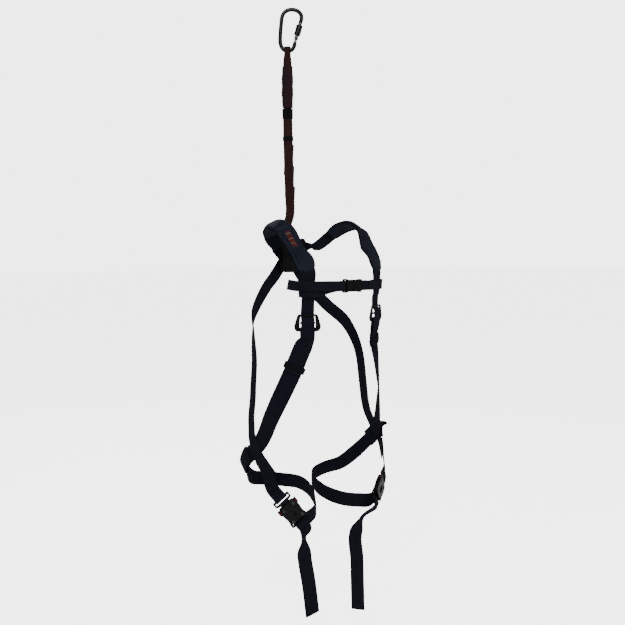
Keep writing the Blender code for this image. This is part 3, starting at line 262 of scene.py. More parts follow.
def sections(guides, width, step, spread, slant=0.0):
    """The strap's inner face as points, stations by places across it, and its outward directions.

    spread lists the places across the strap, from -0.5 to 0.5 of its width.
    """
    spots = stations(guides, step)
    middle = np.array([s.point for s in spots])
    cling = np.array([s.cling for s in spots])[:, None]
    lift = np.array([s.lift for s in spots])[:, None]
    settled, form_facing = settle(middle)
    middle = middle * (1 - cling) + (settled + form_facing * lift) * cling
    facing = np.array([s.facing for s in spots]) * (1 - cling) + form_facing * cling
    tangent = np.gradient(middle, axis=0)
    tangent /= np.linalg.norm(tangent, axis=1)[:, None]
    facing -= tangent * np.sum(facing * tangent, axis=1)[:, None]
    facing /= np.linalg.norm(facing, axis=1)[:, None]
    side = np.cross(tangent, facing)
    wide = np.array([s.width for s in spots]) * width
    inner = np.empty((len(spots), len(spread), 3))
    outward = np.empty_like(inner)
    for k, place in enumerate(spread):
        offset = side * (wide * place)[:, None]
        if slant:
            offset[-1] += tangent[-1] * slant * place * width
        low, up = settle(middle + offset)
        inner[:, k] = (middle + offset) * (1 - cling) + (low + up * lift) * cling
        mixed = facing * (1 - cling) + up * cling
        outward[:, k] = mixed / np.linalg.norm(mixed, axis=1)[:, None]
    return inner, outward


def keep_run(name, guides, width, thick=PLY, slant=0.0):
    """Keep a strap's or a sleeve's guides, to be laid out finely when its pieces are made."""
    RUNS[name] = (guides, width, slant, thick)


def axes_matrix(origin, along, normal):
    """A frame with +X along, +Z along the normal and its origin at a point of the wearer's frame."""
    x = Vector(along).normalized()
    z = Vector(normal)
    z = (z - x * z.dot(x)).normalized()
    y = z.cross(x)
    matrix = Matrix((x, y, z)).transposed().to_4x4()
    matrix.translation = in_part(origin)
    return matrix


TETHER_Y = 0.1345
TETHER_TURN = math.radians(35)
TETHER_BACK_TOP = Vector((math.sin(TETHER_TURN), math.cos(TETHER_TURN), 0))
TETHER_EYE = Vector((0.004, TETHER_Y, 1.1165))   # middle of the carabiner's bottom bar
RING_TOP = Vector((0, TETHER_Y, 0.628))          # middle of the dorsal ring's top bar
RING_BAR = 2.5 * MM
RING_HEIGHT = 38 * MM                            # between its top and low bars
TETHER_BOW = 0.0125                              # how far the slack tether bows to the wearer's left
COVER_LOW, COVER_HIGH = 0.968, 1.076
EYE_ROOT, EYE_NECK = 1.012, 1.084                # where the eye's plies start, and part round the bar
BAND_LOW = 0.940


def tether_facing(height):
    """The tether lies flat to the back at the dorsal ring and turns on its way up."""
    share = min(max((height - 0.66) / 0.12, 0), 1)
    return (BACKWARD * (1 - share) + TETHER_BACK_TOP * share).normalized()


def tether_guides(heights, lift):
    """Guides up the tether, their inner face so many millimetres behind its middle plane."""
    guides = []
    for height in heights:
        share = (height - RING_TOP.z) / (TETHER_EYE.z - RING_TOP.z)
        middle = RING_TOP.lerp(TETHER_EYE, share)
        middle.x += TETHER_BOW * math.sin(math.pi * max(share, 0) ** 0.4) * max(1 - share, 0) ** 1.2
        facing = tether_facing(height)
        guides.append(at(middle + facing * lift * MM, facing))
    return guides


def turned_over(guides):
    """The same guides facing the other way, so that the ply lies in front of them."""
    return [at(g.point, -g.facing, g.width) for g in guides]


def make_tether():
    """Its eye on the carabiner, the absorber's cover and band, and the webbing sewn on the dorsal ring."""
    middle = TETHER_EYE + UP * 2.8 * MM          # clear of the bent bar, which rises at both sides
    half = CARABINER_BAR + 1.3 * MM
    turn = wrap(middle, UP, TETHER_BACK_TOP, half, CARABINER_BAR, 0.72)
    beside = TETHER_EYE - UP * 5 * MM
    reach = TETHER_BACK_TOP * (half + GAP + PLY)
    tail = (PLY + GAP / 2) / MM
    rise = tether_guides([EYE_ROOT, 1.05], -tail) + tether_guides([EYE_NECK], -tail - 2.5)
    fall = tether_guides([EYE_ROOT, 1.05], tail) + tether_guides([EYE_NECK], tail + 2.5)
    rise.append(at(beside - reach, TETHER_BACK_TOP, 0.76))
    fall.append(at(beside + reach, TETHER_BACK_TOP, 0.76))
    keep_run("tether_eye", rise + turn + turned_over(fall[::-1]), 22 * MM)

    cover = tether_guides([COVER_LOW, 1.02, COVER_HIGH], -7.5)
    keep_run("absorber_cover", cover, 30 * MM, 15 * MM)
    band = tether_guides([BAND_LOW, COVER_LOW - 2 * MM], -4.5)
    keep_run("absorber_band", band, 28 * MM, 9 * MM)

    run = tether_guides([COVER_LOW - 4 * MM, 0.92, 0.87, 0.82, 0.77, 0.73, 0.69], -PLY / MM)
    knee = at(RING_TOP + Vector((0, -3.2 * MM, 26 * MM)), BACKWARD)
    turn = wrap(RING_TOP, -UP, BACKWARD, RING_BAR, RING_BAR)
    end = at(RING_TOP + Vector((0, 3.6 * MM, 40 * MM)), -BACKWARD)
    keep_run("tether_webbing", run + [knee] + turn + [end], TETHER_WEB)


CARABINER_BAR = 5.4 * MM
PLATE_THICK = 3 * MM


def on_plate(x, z, layer):
    """A guide flat on the dorsal plate, on the given layer of webbing counted from it."""
    y = DORSAL_CENTRE.y + PLATE_THICK + GAP + layer * (PLY + GAP)
    return at(Vector((x, y, z)), BACKWARD)


def make_dorsal_loop():
    """The short webbing loop that holds the dorsal ring's low bar."""
    low_bar = RING_TOP - UP * RING_HEIGHT
    half = RING_BAR + 0.2 * MM
    keep_run("dorsal_loop", eye_end(low_bar, UP, BACKWARD, half, half, 32 * MM), 24 * MM)


BACK_RUN = (                                     # from the dorsal plate's edge round to the hip
    (0.068, 0.118, 0.495, 4), (0.105, 0.100, 0.450, 2), (0.140, 0.060, 0.395, 1.5),
    (0.155, 0.032, 0.330, 1.5), (0.170, 0.024, 0.240, 1.5), (0.181, 0.018, 0.165, 3.0),
    (0.182, 0.002, 0.128, 6.6), (0.179, -0.018, 0.100, 6.6), (0.171, -0.042, 0.066, 3.4),
    (0.166, -0.052, 0.050, 3.0),
)


def on_form(side, *rows):
    """Guides on the form from rows of x, y, z and lift, given for the wearer's left side."""
    return [on(side * x, y, z, lift) for x, y, z, lift in rows]


def make_back_strap(side):
    """From the dorsal plate down the back and round the side to the hip crossing."""
    layer = 2 if side == RIGHT else 3
    start = [on_plate(side * x, z, layer) for x, z in ((0.004, 0.580), (0.022, 0.555), (0.042, 0.527))]
    keep_run(f"back_strap_{SIDES[side]}", start + on_form(side, *BACK_RUN), BACK_WEB)


PAD_RUN = (                         # the middle of a pad on the form, from behind the shoulder down
    (0.092, 0.066, 0.630), (0.108, 0.034, 0.648), (0.117, -0.004, 0.650), (0.117, -0.042, 0.635),
    (0.112, -0.078, 0.602), (0.107, -0.104, 0.566), (0.104, -0.116, 0.540),
)
PAD_ENDS = (0.86, 0.82)                          # its width at both ends, as shares of the whole
PAD_PRESSED = 0.85                               # a stuffed pad's width, as a share of its cover laid flat


def make_shoulder_pad(side):
    """The pad, under the strap that runs over it; pressed narrower by its stuffing than it lies flat."""
    widths = [PAD_ENDS[0]] + [1] * (len(PAD_RUN) - 2) + [PAD_ENDS[1]]
    cover = [on(side * x, y, z, 1, w) for (x, y, z), w in zip(PAD_RUN, widths)]
    keep_run(f"pad_cover_{SIDES[side]}", cover, PAD_WIDTH * PAD_PRESSED, 14 * MM)


def adjuster_axes(side):
    """The adjuster's place: its middle on the form, up along the strap, and out."""
    centre, facing = settle([(side * (STRAP_X + 0.001), -0.118, ADJUSTER_HEIGHT[side])])
    out = Vector(facing[0])
    up = (UP - out * out.dot(UP)).normalized()
    return Vector(centre[0]), up, out


FRAME_LOW, FRAME_HIGH = 5.0 * MM, 8.0 * MM       # the adjuster frame's faces above the form
LAID_BELOW = 0.058                               # from here down, the straps follow the form again
LOWER_BAR_UP = -17 * MM                          # its lower bar's middle, along the strap
TAIL_LIFT = 4.8                                  # millimetres, over the torso strap
BY_ADJUSTER = (                                  # the strap's way over its bar: millimetres up and out
    (24, 2.0), (15, 2.4), (8, 8.6), (3, 10.2), (-8, 10.8), (-24, 10.8), (-41, 8.2),
)
ADJUSTED_WIDTH = 0.86                            # webbing is pressed together in the adjuster


def make_shoulder_strap(side):
    """From the dorsal plate over the shoulder, through the pad and adjuster, to its free end."""
    layer = 0 if side == RIGHT else 1
    centre, up, out = adjuster_axes(side)

    def by_adjuster(rise, height):
        return at(centre + up * rise * MM + out * height * MM, out, ADJUSTED_WIDTH)

    buckled = ADJUSTER_HEIGHT[side]
    guides = [on_plate(side * x, z, layer) for x, z in ((0.004, 0.562), (0.020, 0.583), (0.042, 0.606))]
    guides += on_form(side, (0.066, 0.098, 0.622, 6), *((*spot, 9.6) for spot in PAD_RUN[:-1]))
    guides += [
        on(side * STRAP_X, -0.118, height, lift, width)
        for height, lift, width in (
            (0.538, 8.2, 1.0), (CHEST_HEIGHT + 0.012, 4.8, 0.9), (CHEST_HEIGHT - 0.024, 4.8, 0.84),
            (buckled + 0.044, 2.6, 0.84))
    ]
    guides += [by_adjuster(rise, height) for rise, height in BY_ADJUSTER]
    guides += [on(*torso_line(side, height), TAIL_LIFT)
               for height in (buckled - LAID_BELOW, KEEPER_HEIGHT[side] - 0.013)]
    keep_run(f"shoulder_strap_{SIDES[side]}", guides, SHOULDER_WEB)


def torso_line(side, height):
    """A point on the straight run of the torso strap, from below the adjuster to the hip."""
    top, foot = Vector((0.108, -0.113, 0.375)), Vector((0.176, -0.024, 0.125))
    spot = foot.lerp(top, (height - foot.z) / (top.z - foot.z))
    return side * spot.x, spot.y, height


def make_torso_strap(side):
    """From its sewn eye on the adjuster's lower bar, straight down over the side to the hip."""
    name = SIDES[side]
    centre, up, out = adjuster_axes(side)
    bar = centre + up * LOWER_BAR_UP + out * (FRAME_LOW + FRAME_HIGH) / 2
    eye = eye_end(bar, up, out, (FRAME_HIGH - FRAME_LOW) / 2, 4.6 * MM, 24 * MM, sag=0.6 * MM,
                  width=0.8)
    run = on_form(side, (0.183, 0.022, 0.082, 3.4), (0.180, -0.006, 0.104, 3.4))
    heights = np.linspace(0.130, ADJUSTER_HEIGHT[side] - LAID_BELOW, 5)
    run += [on(*torso_line(side, height), 2.2) for height in heights]
    keep_run(f"torso_strap_{name}", run + eye, TORSO_WEB)
    keeper = [on(*torso_line(side, KEEPER_HEIGHT[side] + rise), 0.3) for rise in (-7 * MM, 7 * MM)]
    keep_run(f"strap_keeper_{name}", keeper, 52 * MM, 8.6 * MM)


def make_side_loop(side):
    """The webbing loop at the hip for a positioning rope, folded double beyond the torso strap."""
    if side == RIGHT:
        root, knee, lift = (0.184, 0.012, 0.092), (0.185, 0.026, 0.076), 6.3
        tip, way = Vector((0.191, 0.037, 0.056)), Vector((0.14, 0.55, -0.82))
    else:
        root, knee, lift = (0.179, -0.012, 0.092), (0.179, -0.010, 0.108), 10.8
        tip, way = Vector((0.212, -0.008, 0.128)), Vector((0.70, 0.0, 0.71))
    start, first = (on(side * x, y, z, lift) for x, y, z in (root, knee))
    out = Vector(first.facing)
    way = Vector((side * way.x, way.y, way.z)).normalized()
    normal = (out - way * way.dot(out)).normalized()
    half = 2.6 * MM
    bend = Vector((side * tip.x, tip.y, tip.z))
    fold = wrap(bend, way, normal, half, half)
    spare = 2 * PLY + 2 * GAP
    last = at(Vector(first.point) + out * (spare + 1.5 * MM), -out)
    end = at(Vector(start.point) + Vector(start.facing) * spare, -Vector(start.facing))
    keep_run(f"side_loop_{SIDES[side]}", [start, first] + fold + [last, end], TORSO_WEB)


SOCKET_LOW, SOCKET_HIGH = 5 * MM, 13 * MM        # the chest buckle's faces above the form
CHEST_MIDDLE = (SOCKET_LOW + SOCKET_HIGH) / 2
SOCKET_BAR = -33 * MM                            # the middle of its web bar, from the buckle's middle
CHEST_TAIL = (                                   # the free tail's distance from the middle, and its lift
    (0.168, 8.5), (0.150, 9.5), (0.132, 12.2), (0.104, 12.2), (0.086, 11.8), (0.056, 10.4),
)


def chest_spot(x, lift, drop=0.0):
    return on(x, -0.125, CHEST_HEIGHT - drop, lift)


def over_spot(x, lift, drop=0.0):
    """A chest-strap guide whose ply faces inwards from the height given."""
    spot = chest_spot(x, lift, drop)
    return at(spot.point, -spot.facing)


def chest_frame():
    """The chest buckle's own axes, in the wearer's frame: across the chest, up, and out."""
    middle = chest_spot(CHEST_BUCKLE_X, 0)
    matrix = axes_matrix(Vector(middle.point), (1, 0, 0), middle.facing)
    matrix.translation += DORSAL_CENTRE
    return matrix


def make_chest_strap(side):
    """One half: its sewn end grips the shoulder strap in a loop; the right half has a free tail."""
    outside, edge, near, root = (side * x for x in (0.118, 0.131, 0.090, 0.068))
    rise, drop = (1.6, CHEST_FAN) if side == RIGHT else (5.2, 0)
    under = [chest_spot(root, rise, drop * 0.7), chest_spot(near, 1.0, drop)]
    under += [chest_spot(side * STRAP_X, 1.0, drop), chest_spot(outside, 1.0, drop)]
    foot = chest_spot(edge, 1.0, drop)
    out = Vector(foot.facing)
    heading = (Vector((side, 0, 0)) - out * side * out.x).normalized()
    half = 2.6 * MM
    bar = Vector(foot.point) + out * (PLY + GAP + half)
    turn = wrap(bar, heading, out, half, 0.5 * MM)
    back = [over_spot(outside, 9.6, drop), over_spot(side * STRAP_X, 9.6, drop)]
    back += [over_spot(near, 9.2, drop), over_spot(root, rise + 4.2, drop * 0.7)]
    matrix = chest_frame()
    if side == LEFT:
        facing = matrix.to_3x3() @ Vector((0, 0, 1))
        inner = [at(matrix @ Vector((x * MM, 0, 2.2 * MM)), facing) for x in (2, 22, 40)]
    else:
        middle = matrix @ Vector((SOCKET_BAR, 0, CHEST_MIDDLE))
        normal = matrix.to_3x3() @ Vector((0, 0, -1))
        fold = wrap(middle, Vector((1, 0, 0)), normal, 2 * MM, 2 * MM)
        tail = [over_spot(side * x, lift) for x, lift in CHEST_TAIL]
        inner = tail + fold + [chest_spot(side * 0.045, 1.6, drop * 0.3)]
    keep_run(f"chest_strap_{SIDES[side]}", inner + under + turn + back, CHEST_WEB)


PLATE_LOW, PLATE_TOP = 1.2 * MM, 13.6 * MM       # outer faces of the two plates above the thigh
PLATE_SHEET = 2.4 * MM
BUCKLE_MIDDLE = (PLATE_LOW + PLATE_TOP) / 2
TONGUE_HALF = 1.7 * MM
TONGUE_BAR = -47 * MM                            # the tongue's outer bar, along the buckle
WEB_BAR = 31 * MM                                # the bar for the leg loop, along the buckle
UNDER_SEAT = ((-80, -0.026, 1), (-110, -0.012, 1), (-145, -0.008, 1), (-180, 0.000, 1))


def leg_buckle_axes(side):
    """The buckle's place on the thigh: its middle, its long way towards the inner thigh, and out."""
    turn, height, tilt = LEG_BUCKLE_PLACE[side]
    turn, tilt = math.radians(turn), math.radians(tilt)
    out = Vector((side * math.sin(turn), -math.cos(turn), 0))
    middle = Vector((side * THIGH_X, 0, height)) + out * THIGH_RADIUS
    inward = Vector((-side * math.cos(turn), -math.sin(turn), 0))
    along = inward * math.cos(tilt) - UP * math.sin(tilt)
    return middle, along, out


def leg_point(side, along, out):
    """A point so far along a leg buckle and so far out from the thigh."""
    middle, way, normal = leg_buckle_axes(side)
    return middle + way * along + normal * out


def make_leg_strap(side):
    """From the hip crossing, over the back strap's end, to its eye on the buckle's tongue."""
    along, out = leg_buckle_axes(side)[1:]
    bar = leg_point(side, TONGUE_BAR, BUCKLE_MIDDLE)
    eye = eye_end(bar, along, out, TONGUE_HALF, 3.2 * MM, 24 * MM, sag=2.5 * MM)
    run = on_form(side, (0.1765, -0.028, 0.087, 8.4), (0.171, -0.042, 0.066, 7.4))
    keep_run(f"leg_strap_{SIDES[side]}", run + eye, BACK_WEB)


def thigh_spot(side, turn, height, lift):
    """A guide on the thigh: turn is counted from its front towards the outer side, in degrees."""
    turn = math.radians(turn)
    out = Vector((side * math.sin(turn), -math.cos(turn), 0))
    centre = Vector((side * THIGH_X, THIGH_BACK, height))
    return at(centre + out * (THIGH_RADIUS + lift * MM), out)


def make_leg_loop(side):
    """From the buckle's web bar round the inner thigh, under the seat and up to the hip crossing."""
    along, out = leg_buckle_axes(side)[1:]
    bar = leg_point(side, WEB_BAR + 0.9 * MM, PLATE_LOW + PLATE_SHEET / 2)
    front, height = LEG_BUCKLE_PLACE[side][:2]
    guides = leg_bar_turn(bar, -along, out)
    guides += [thigh_spot(side, *spot) for spot in (
        (front - 48, height - 0.016, 12), (front - 70, height - 0.012, 7), *UNDER_SEAT)]
    guides += [at(Vector((side * 0.140, 0.080, 0.012)), Vector((side * 0.5, 0.86, 0))),
               at(Vector((side * 0.169, 0.058, 0.040)), Vector((side * 0.8, 0.6, 0)))]
    guides += on_form(side, (0.183, 0.022, 0.078, 1), (0.184, 0.004, 0.094, 1))
    keep_run(f"leg_loop_{SIDES[side]}", guides, LEG_WEB)


def leg_bar_turn(bar, heading, normal):
    """The short sewn end over the web bar, through the slot and back under it."""
    half = PLATE_SHEET / 2
    fold = wrap(bar, heading, -normal, half, 3.3 * MM)
    return [at(bar - heading * 10 * MM + normal * (half + GAP + PLY), -normal)] + fold


def make_leg_tail(side):
    """The free end of the leg webbing, hanging with a half twist from the web bar."""
    along, out = leg_buckle_axes(side)[1:]
    top = leg_point(side, WEB_BAR + 3 * MM, PLATE_LOW + PLATE_SHEET + 2 * PLY + 4 * MM)
    if side == RIGHT:
        drift, lean, drop = Vector((0.004, -0.004, 0)), Vector((0.032, 0.0, 0)), 0.238
    else:
        drift, lean, drop = Vector((-0.058, 0.014, 0)), Vector((-0.055, 0.008, 0)), 0.282
    face, slack = Vector((-0.30, -0.95, 0)), Vector((0.55, -0.83, 0))
    guides = [
        at(top, out),
        at(top + along * 12 * MM + out * 2 * MM - UP * 4 * MM, out - UP * 0.2, 0.9),
        at(top + drift * 0.7 - UP * 0.040, slack, 0.80),
        at(top + drift - UP * 0.080, face),
        at(top + drift.lerp(lean, 0.5) - UP * 0.150, face),
        at(top + lean - UP * drop, face),
    ]
    keep_run(f"leg_tail_{SIDES[side]}", guides, LEG_WEB, slant=-side * 0.25)


def lay_out():
    """Work out every strap's guides. The torso, which has no piece here, only shapes them."""
    make_tether()
    make_dorsal_loop()
    for side in SIDES:
        make_chest_strap(side)
        make_back_strap(side)
        make_shoulder_pad(side)
        make_shoulder_strap(side)
        make_torso_strap(side)
        make_side_loop(side)
        make_leg_strap(side)
        make_leg_loop(side)
        make_leg_tail(side)


# ---------------------------------------------------------------- runs: the paths worked out finely

HARNESS = "harness"


class Run:
    """A strap's path as a grid of points on its inner face, for laying cloth and thread on it."""

    def __init__(self, name, pitch=4 * MM, across=9):
        self.name = name
        guides, self.width, slant, self.thick = RUNS[name]
        self.places = np.sin(np.linspace(-0.5, 0.5, across) * math.pi) / 2
        self.inner, self.outward = sections(guides, self.width, pitch, self.places, slant)
        self.inner = self.inner - np.array(DORSAL_CENTRE)
        middle = self.inner[:, across // 2]
        steps = np.linalg.norm(np.diff(middle, axis=0), axis=1)
        self.along = np.concatenate([[0], np.cumsum(steps)])
        self.length = self.along[-1]

    def lay(self, s, u, height):
        """Points so far along, across (-0.5 to 0.5) and above the inner face, and the outward directions."""
        s, u, height = np.broadcast_arrays(np.asarray(s, float), u, height)
        s = np.clip(s, 0, self.length)
        i = np.clip(np.searchsorted(self.along, s) - 1, 0, len(self.along) - 2)
        t = ((s - self.along[i]) / (self.along[i + 1] - self.along[i]))[..., None]
        j = np.clip(np.searchsorted(self.places, u) - 1, 0, len(self.places) - 2)
        w = ((u - self.places[j]) / (self.places[j + 1] - self.places[j]))[..., None]

        def mixed(grid):
            low = grid[i, j] * (1 - w) + grid[i, j + 1] * w
            high = grid[i + 1, j] * (1 - w) + grid[i + 1, j + 1] * w
            return low * (1 - t) + high * t

        out = mixed(self.outward)
        out /= np.linalg.norm(out, axis=-1)[..., None]
        return mixed(self.inner) + out * height[..., None], out


def linked(name, data):
    """A new object in the scene."""
    made = bpy.data.objects.new(name, data)
    bpy.context.scene.collection.objects.link(made)
    return made


def made_mesh(name, points, faces, uvs=None, smooth_angle=50):
    """An object from arrays of points and faces; uvs are given per point, in metres."""
    mesh = bpy.data.meshes.new(name)
    mesh.from_pydata([tuple(p) for p in points], [], faces)
    if uvs is not None:
        layer = mesh.uv_layers.new(name="lay")
        corners = np.empty(len(mesh.loops), np.int32)
        mesh.loops.foreach_get("vertex_index", corners)
        layer.data.foreach_set("uv", np.asarray(uvs, np.float32)[corners].ravel())
    mesh.shade_smooth()
    mesh.set_sharp_from_angle(angle=math.radians(smooth_angle))
    return linked(name, mesh)


def ring_quads(rows, count):
    """Faces between rows of closed rings, and the two flat ends, turned to face outwards."""
    faces = []
    for a in range(rows - 1):
        for k in range(count):
            n = (k + 1) % count
            base, after = a * count, (a + 1) * count
            faces.append((base + k, after + k, after + n, base + n))
    for row, turned_round in ((0, False), (rows - 1, True)):
        base = row * count
        for k in range(count // 2 - 1):
            quad = (base + k, base + k + 1, base + count - 2 - k, base + count - 1 - k)
            faces.append(quad[::-1] if turned_round else quad)
    return faces


EDGE_ROLL = 0.6                     # how much thinner a strap is at its very edges


def slab(run, s0, s1, low, high, half_u=0.5, stops=None, life=0.0, phase=0.0, across=9):
    """Points, faces and uvs of a ply laid on a run, its edges rolled thin and a slow wave in its face."""
    if stops is None:
        stops = np.linspace(s0, s1, max(2, int((s1 - s0) / (4 * MM) + 0.5) + 1))[1:-1]
    s = np.concatenate([[s0], stops, [s1]])
    count = len(s)
    share = np.sin(np.linspace(-0.5, 0.5, across) * math.pi) / 2
    u = share * 2 * half_u
    fullness = 1 - EDGE_ROLL * np.abs(2 * share) ** 8
    middle, half = (low + high) / 2, (high - low) / 2
    ripple = np.sin(s * 61 + phase)[:, None] * np.cos(u * 5 + phase)
    wave = life * (ripple + np.sin(s * 23 + phase * 2)[:, None])
    under, _ = run.lay(s[:, None], u[None, :], middle - half * fullness[None, :] + wave)
    over, _ = run.lay(s[:, None], u[None, :], middle + half * fullness[None, :] + wave)
    points = np.concatenate([under, over[:, ::-1]], axis=1)
    across_uv = np.concatenate([u, u[::-1]]) * run.width
    uvs = np.stack(np.broadcast_arrays(across_uv[None, :], s[:, None]), axis=-1)
    return points.reshape(-1, 3), ring_quads(count, 2 * across), uvs.reshape(-1, 2)


def joined(parts):
    """Several (points, faces, uvs) as one."""
    points, groups, uvs = zip(*parts)
    starts = np.cumsum([0, *map(len, points)])
    faces = [tuple(int(i + start) for i in face) for start, group in zip(starts, groups) for face in group]
    return np.concatenate(points), faces, np.concatenate(uvs)


def dressed(made, finish, slot, body, *nodes):
    """Give a piece its material and the CAD body it rides on, and hide the CAD nodes it stands for; given a
    tuple of bodies it is only baked in place. Its slot is not used.
    """
    made.data.materials.append(finish)
    if nodes:
        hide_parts(*nodes)
    if isinstance(body, tuple):
        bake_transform(made)
    else:
        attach(made, body)
    return made


# ---------------------------------------------------------------- thread

STITCH = 3.0 * MM                   # pitch of the seams
THREAD = 0.42 * MM                  # half width of the thread
TACK_HALF = 0.4                     # half a bar tack's length, as a share of the strap's width
TACK_PITCH, TACK_REACH = 1.3 * MM, 1.1 * MM


def stitches(spots, outs, length=0.8):
    """Small raised dashes of thread, one between each pair of neighbouring spots."""
    a, b = spots[:-1], spots[1:]
    out = outs[:-1] + outs[1:]
    out /= np.linalg.norm(out, axis=1)[:, None] + 1e-12
    way = b - a
    side = np.cross(way, out)
    side /= np.linalg.norm(side, axis=1)[:, None] + 1e-12
    middle = (a + b) / 2
    rows = [middle - way * length / 2 - out * 0.1 * MM]
    for place in (-0.28, 0.28):
        for across, up in ((1, 0), (0, 1), (-1, 0), (0, -1)):
            rows.append(middle + way * length * place + side * THREAD * across + out * THREAD * up)
    rows.append(middle + way * length / 2 - out * 0.1 * MM)
    points = np.stack(rows, axis=1).reshape(-1, 3)
    one = [(0, 1 + k, 1 + (k + 1) % 4) for k in range(4)]
    one += [(1 + k, 5 + k, 5 + (k + 1) % 4, 1 + (k + 1) % 4) for k in range(4)]
    one += [(9, 5 + (k + 1) % 4, 5 + k) for k in range(4)]
    faces = [tuple(i + 10 * n for i in face) for n in range(len(a)) for face in one]
    return points, faces, np.zeros((len(points), 2))


class Seams:
    """Thread laid on a run: lines, boxes with a cross, and dense bar tacks."""

    def __init__(self, run):
        self.run, self.parts = run, []

    def put(self, s, u, height, length=0.8):
        """Stitches through places along and across the run, on whichever face is nearer."""
        spots, outs = self.run.lay(s, u, height)
        self.parts.append(stitches(spots, outs if height > self.run.thick / 2 else -outs, length))

    def line(self, s0, u0, s1, u1, height):
        long = math.hypot(s1 - s0, (u1 - u0) * self.run.width)
        t = np.linspace(0, 1, max(2, int(long / STITCH + 0.5) + 1))
        self.put(s0 + (s1 - s0) * t, u0 + (u1 - u0) * t, height)

    def box(self, s0, s1, height, u=0.38):
        """A box with a cross in it."""
        for a, u0, b, u1 in ((s0, -u, s1, -u), (s0, u, s1, u), (s0, -u, s0, u), (s1, -u, s1, u),
                             (s0, -u, s1, u), (s0, u, s1, -u)):
            self.line(a, u0, b, u1, height)

    def tack(self, s, height):
        """A bar tack: thread going to and fro across the strap."""
        count = max(4, int(2 * TACK_HALF * self.run.width / TACK_PITCH))
        to_and_fro = s + TACK_REACH * (-1.0) ** np.arange(count)
        self.put(to_and_fro, np.linspace(-TACK_HALF, TACK_HALF, count), height, 1.0)

    def edges(self, s0, s1, height, u=0.42):
        """Two long rows of thread, one near each edge."""
        steps = max(1, int((s1 - s0) / (40 * MM)))
        for sign in (-1, 1):
            for k in range(steps):
                a, b = (s0 + (s1 - s0) * (k + d) / steps for d in (0, 1))
                self.line(a, sign * u, b, sign * u, height)


# ---------------------------------------------------------------- materials

class Shade:
    """A material's node tree, with short ways to add and join nodes."""

    def __init__(self, name):
        self.made = bpy.data.materials.new(name)
        self.made.use_nodes = True
        self.tree = self.made.node_tree
        self.shader = self.tree.nodes["Principled BSDF"]

    def feed(self, socket, value):
        """Give a socket a number, a colour or another node's output."""
        if isinstance(value, (int, float)):
            socket.default_value = value
        elif isinstance(value, tuple):
            socket.default_value = (*value, 1)
        elif value is not None:
            self.tree.links.new(value, socket)

    def add(self, kind, fed, **settings):
        """A new node with its settings, its sockets fed from a table of their names or numbers."""
        made = self.tree.nodes.new(f"ShaderNode{kind}")
        for key, value in settings.items():
            setattr(made, key, value)
        for key, value in fed.items():
            self.feed(made.inputs[key], value)
        return made

    def math(self, operation, a, b=None, c=None):
        return self.add("Math", {0: a, 1: b, 2: c}, operation=operation).outputs[0]

    def objects(self):
        """The object's own coordinates."""
        return self.add("TexCoord", {}).outputs["Object"]

    def noise(self, scale, detail=3.0, rough=0.6):
        fed = {"Scale": scale, "Detail": detail, "Roughness": rough, "Vector": self.objects()}
        return self.add("TexNoise", fed).outputs[0]

    def ramp(self, value, *stops):
        made = self.add("ValToRGB", {0: value})
        for element, (place, colour) in zip(made.color_ramp.elements, stops):
            element.position = place
            element.color = (*colour, 1)
        return made.outputs[0]

    def mix(self, share, a, b):
        return self.add("Mix", {0: share, 6: a, 7: b}, data_type="RGBA").outputs[2]

    def bump(self, height, distance, strength=1.0, after=None):
        fed = {"Strength": strength, "Distance": distance, "Height": height, "Normal": after}
        return self.add("Bump", fed).outputs[0]

    def set(self, **values):
        """Set or join the shader's own inputs, and hand over the material."""
        for key, value in values.items():
            self.feed(self.shader.inputs[key.replace("_", " ")], value)
        return self.made


def scaled(colour, gain, lift=0.0):
    """A colour made lighter or darker, kept within 1."""
    return tuple(min(1.0, c * gain + lift) for c in colour)


WEAVE_DEPTH = 0.25                  # millimetres
WARP_PITCH = 1.1                    # millimetres
STRIPE_EVERY, STRIPE_HALF = 7 * MM, 1.3 * MM
RIBBED = 400.0                      # a zigzag too wide to turn, which leaves straight ribs


def woven(name, dark, light, rib=1.5, band=7.0, depth=WEAVE_DEPTH, sheen=0.03, edge=0.12, stripe=None):
    """Webbing: a herringbone weave with patches of fade and a few pale fibres, striped if asked.

    rib is the pitch of the weave and band the width of a zigzag, in millimetres.
    """
    shade = Shade(name)
    lay = shade.add("UVMap", {}, uv_map="lay")
    apart = shade.add("SeparateXYZ", {0: lay.outputs[0]})
    across, along = (shade.math("MULTIPLY", apart.outputs[k], 1000.0) for k in (0, 1))
    slanted = shade.math("ADD", along, shade.math("PINGPONG", across, band / 2))
    pick = shade.math("SINE", shade.math("MULTIPLY", slanted, 2 * math.pi / rib))
    warp = shade.math("SINE", shade.math("MULTIPLY", across, 2 * math.pi / WARP_PITCH))
    weave = shade.math("ADD", pick, shade.math("MULTIPLY", warp, 0.5))
    patchy, fine = shade.noise(26.0, 4.0), shade.noise(900.0, 2.0)
    thread = shade.math("MULTIPLY_ADD", weave, 0.16, 0.32)
    tone = shade.math("ADD", thread, shade.math("MULTIPLY", patchy, 0.45))
    fibres = shade.math("MULTIPLY", shade.math("GREATER_THAN", fine, 0.57), edge)
    colour = shade.mix(fibres, shade.ramp(tone, (0.25, dark), (0.9, light)), scaled(light, 2.2, 0.01))
    if stripe:
        from_stripe = shade.math("PINGPONG", apart.outputs[1], STRIPE_EVERY)
        colour = shade.mix(shade.math("LESS_THAN", from_stripe, STRIPE_HALF), colour, stripe)
    height = shade.math("ADD", weave, shade.math("MULTIPLY", fine, 0.8))
    return shade.set(Base_Color=colour, Roughness=0.88, Normal=shade.bump(height, depth * MM, 0.8),
                     Sheen_Weight=sheen, Sheen_Roughness=0.45, Sheen_Tint=scaled(light, 6, 0.15),
                     Specular_IOR_Level=0.07)


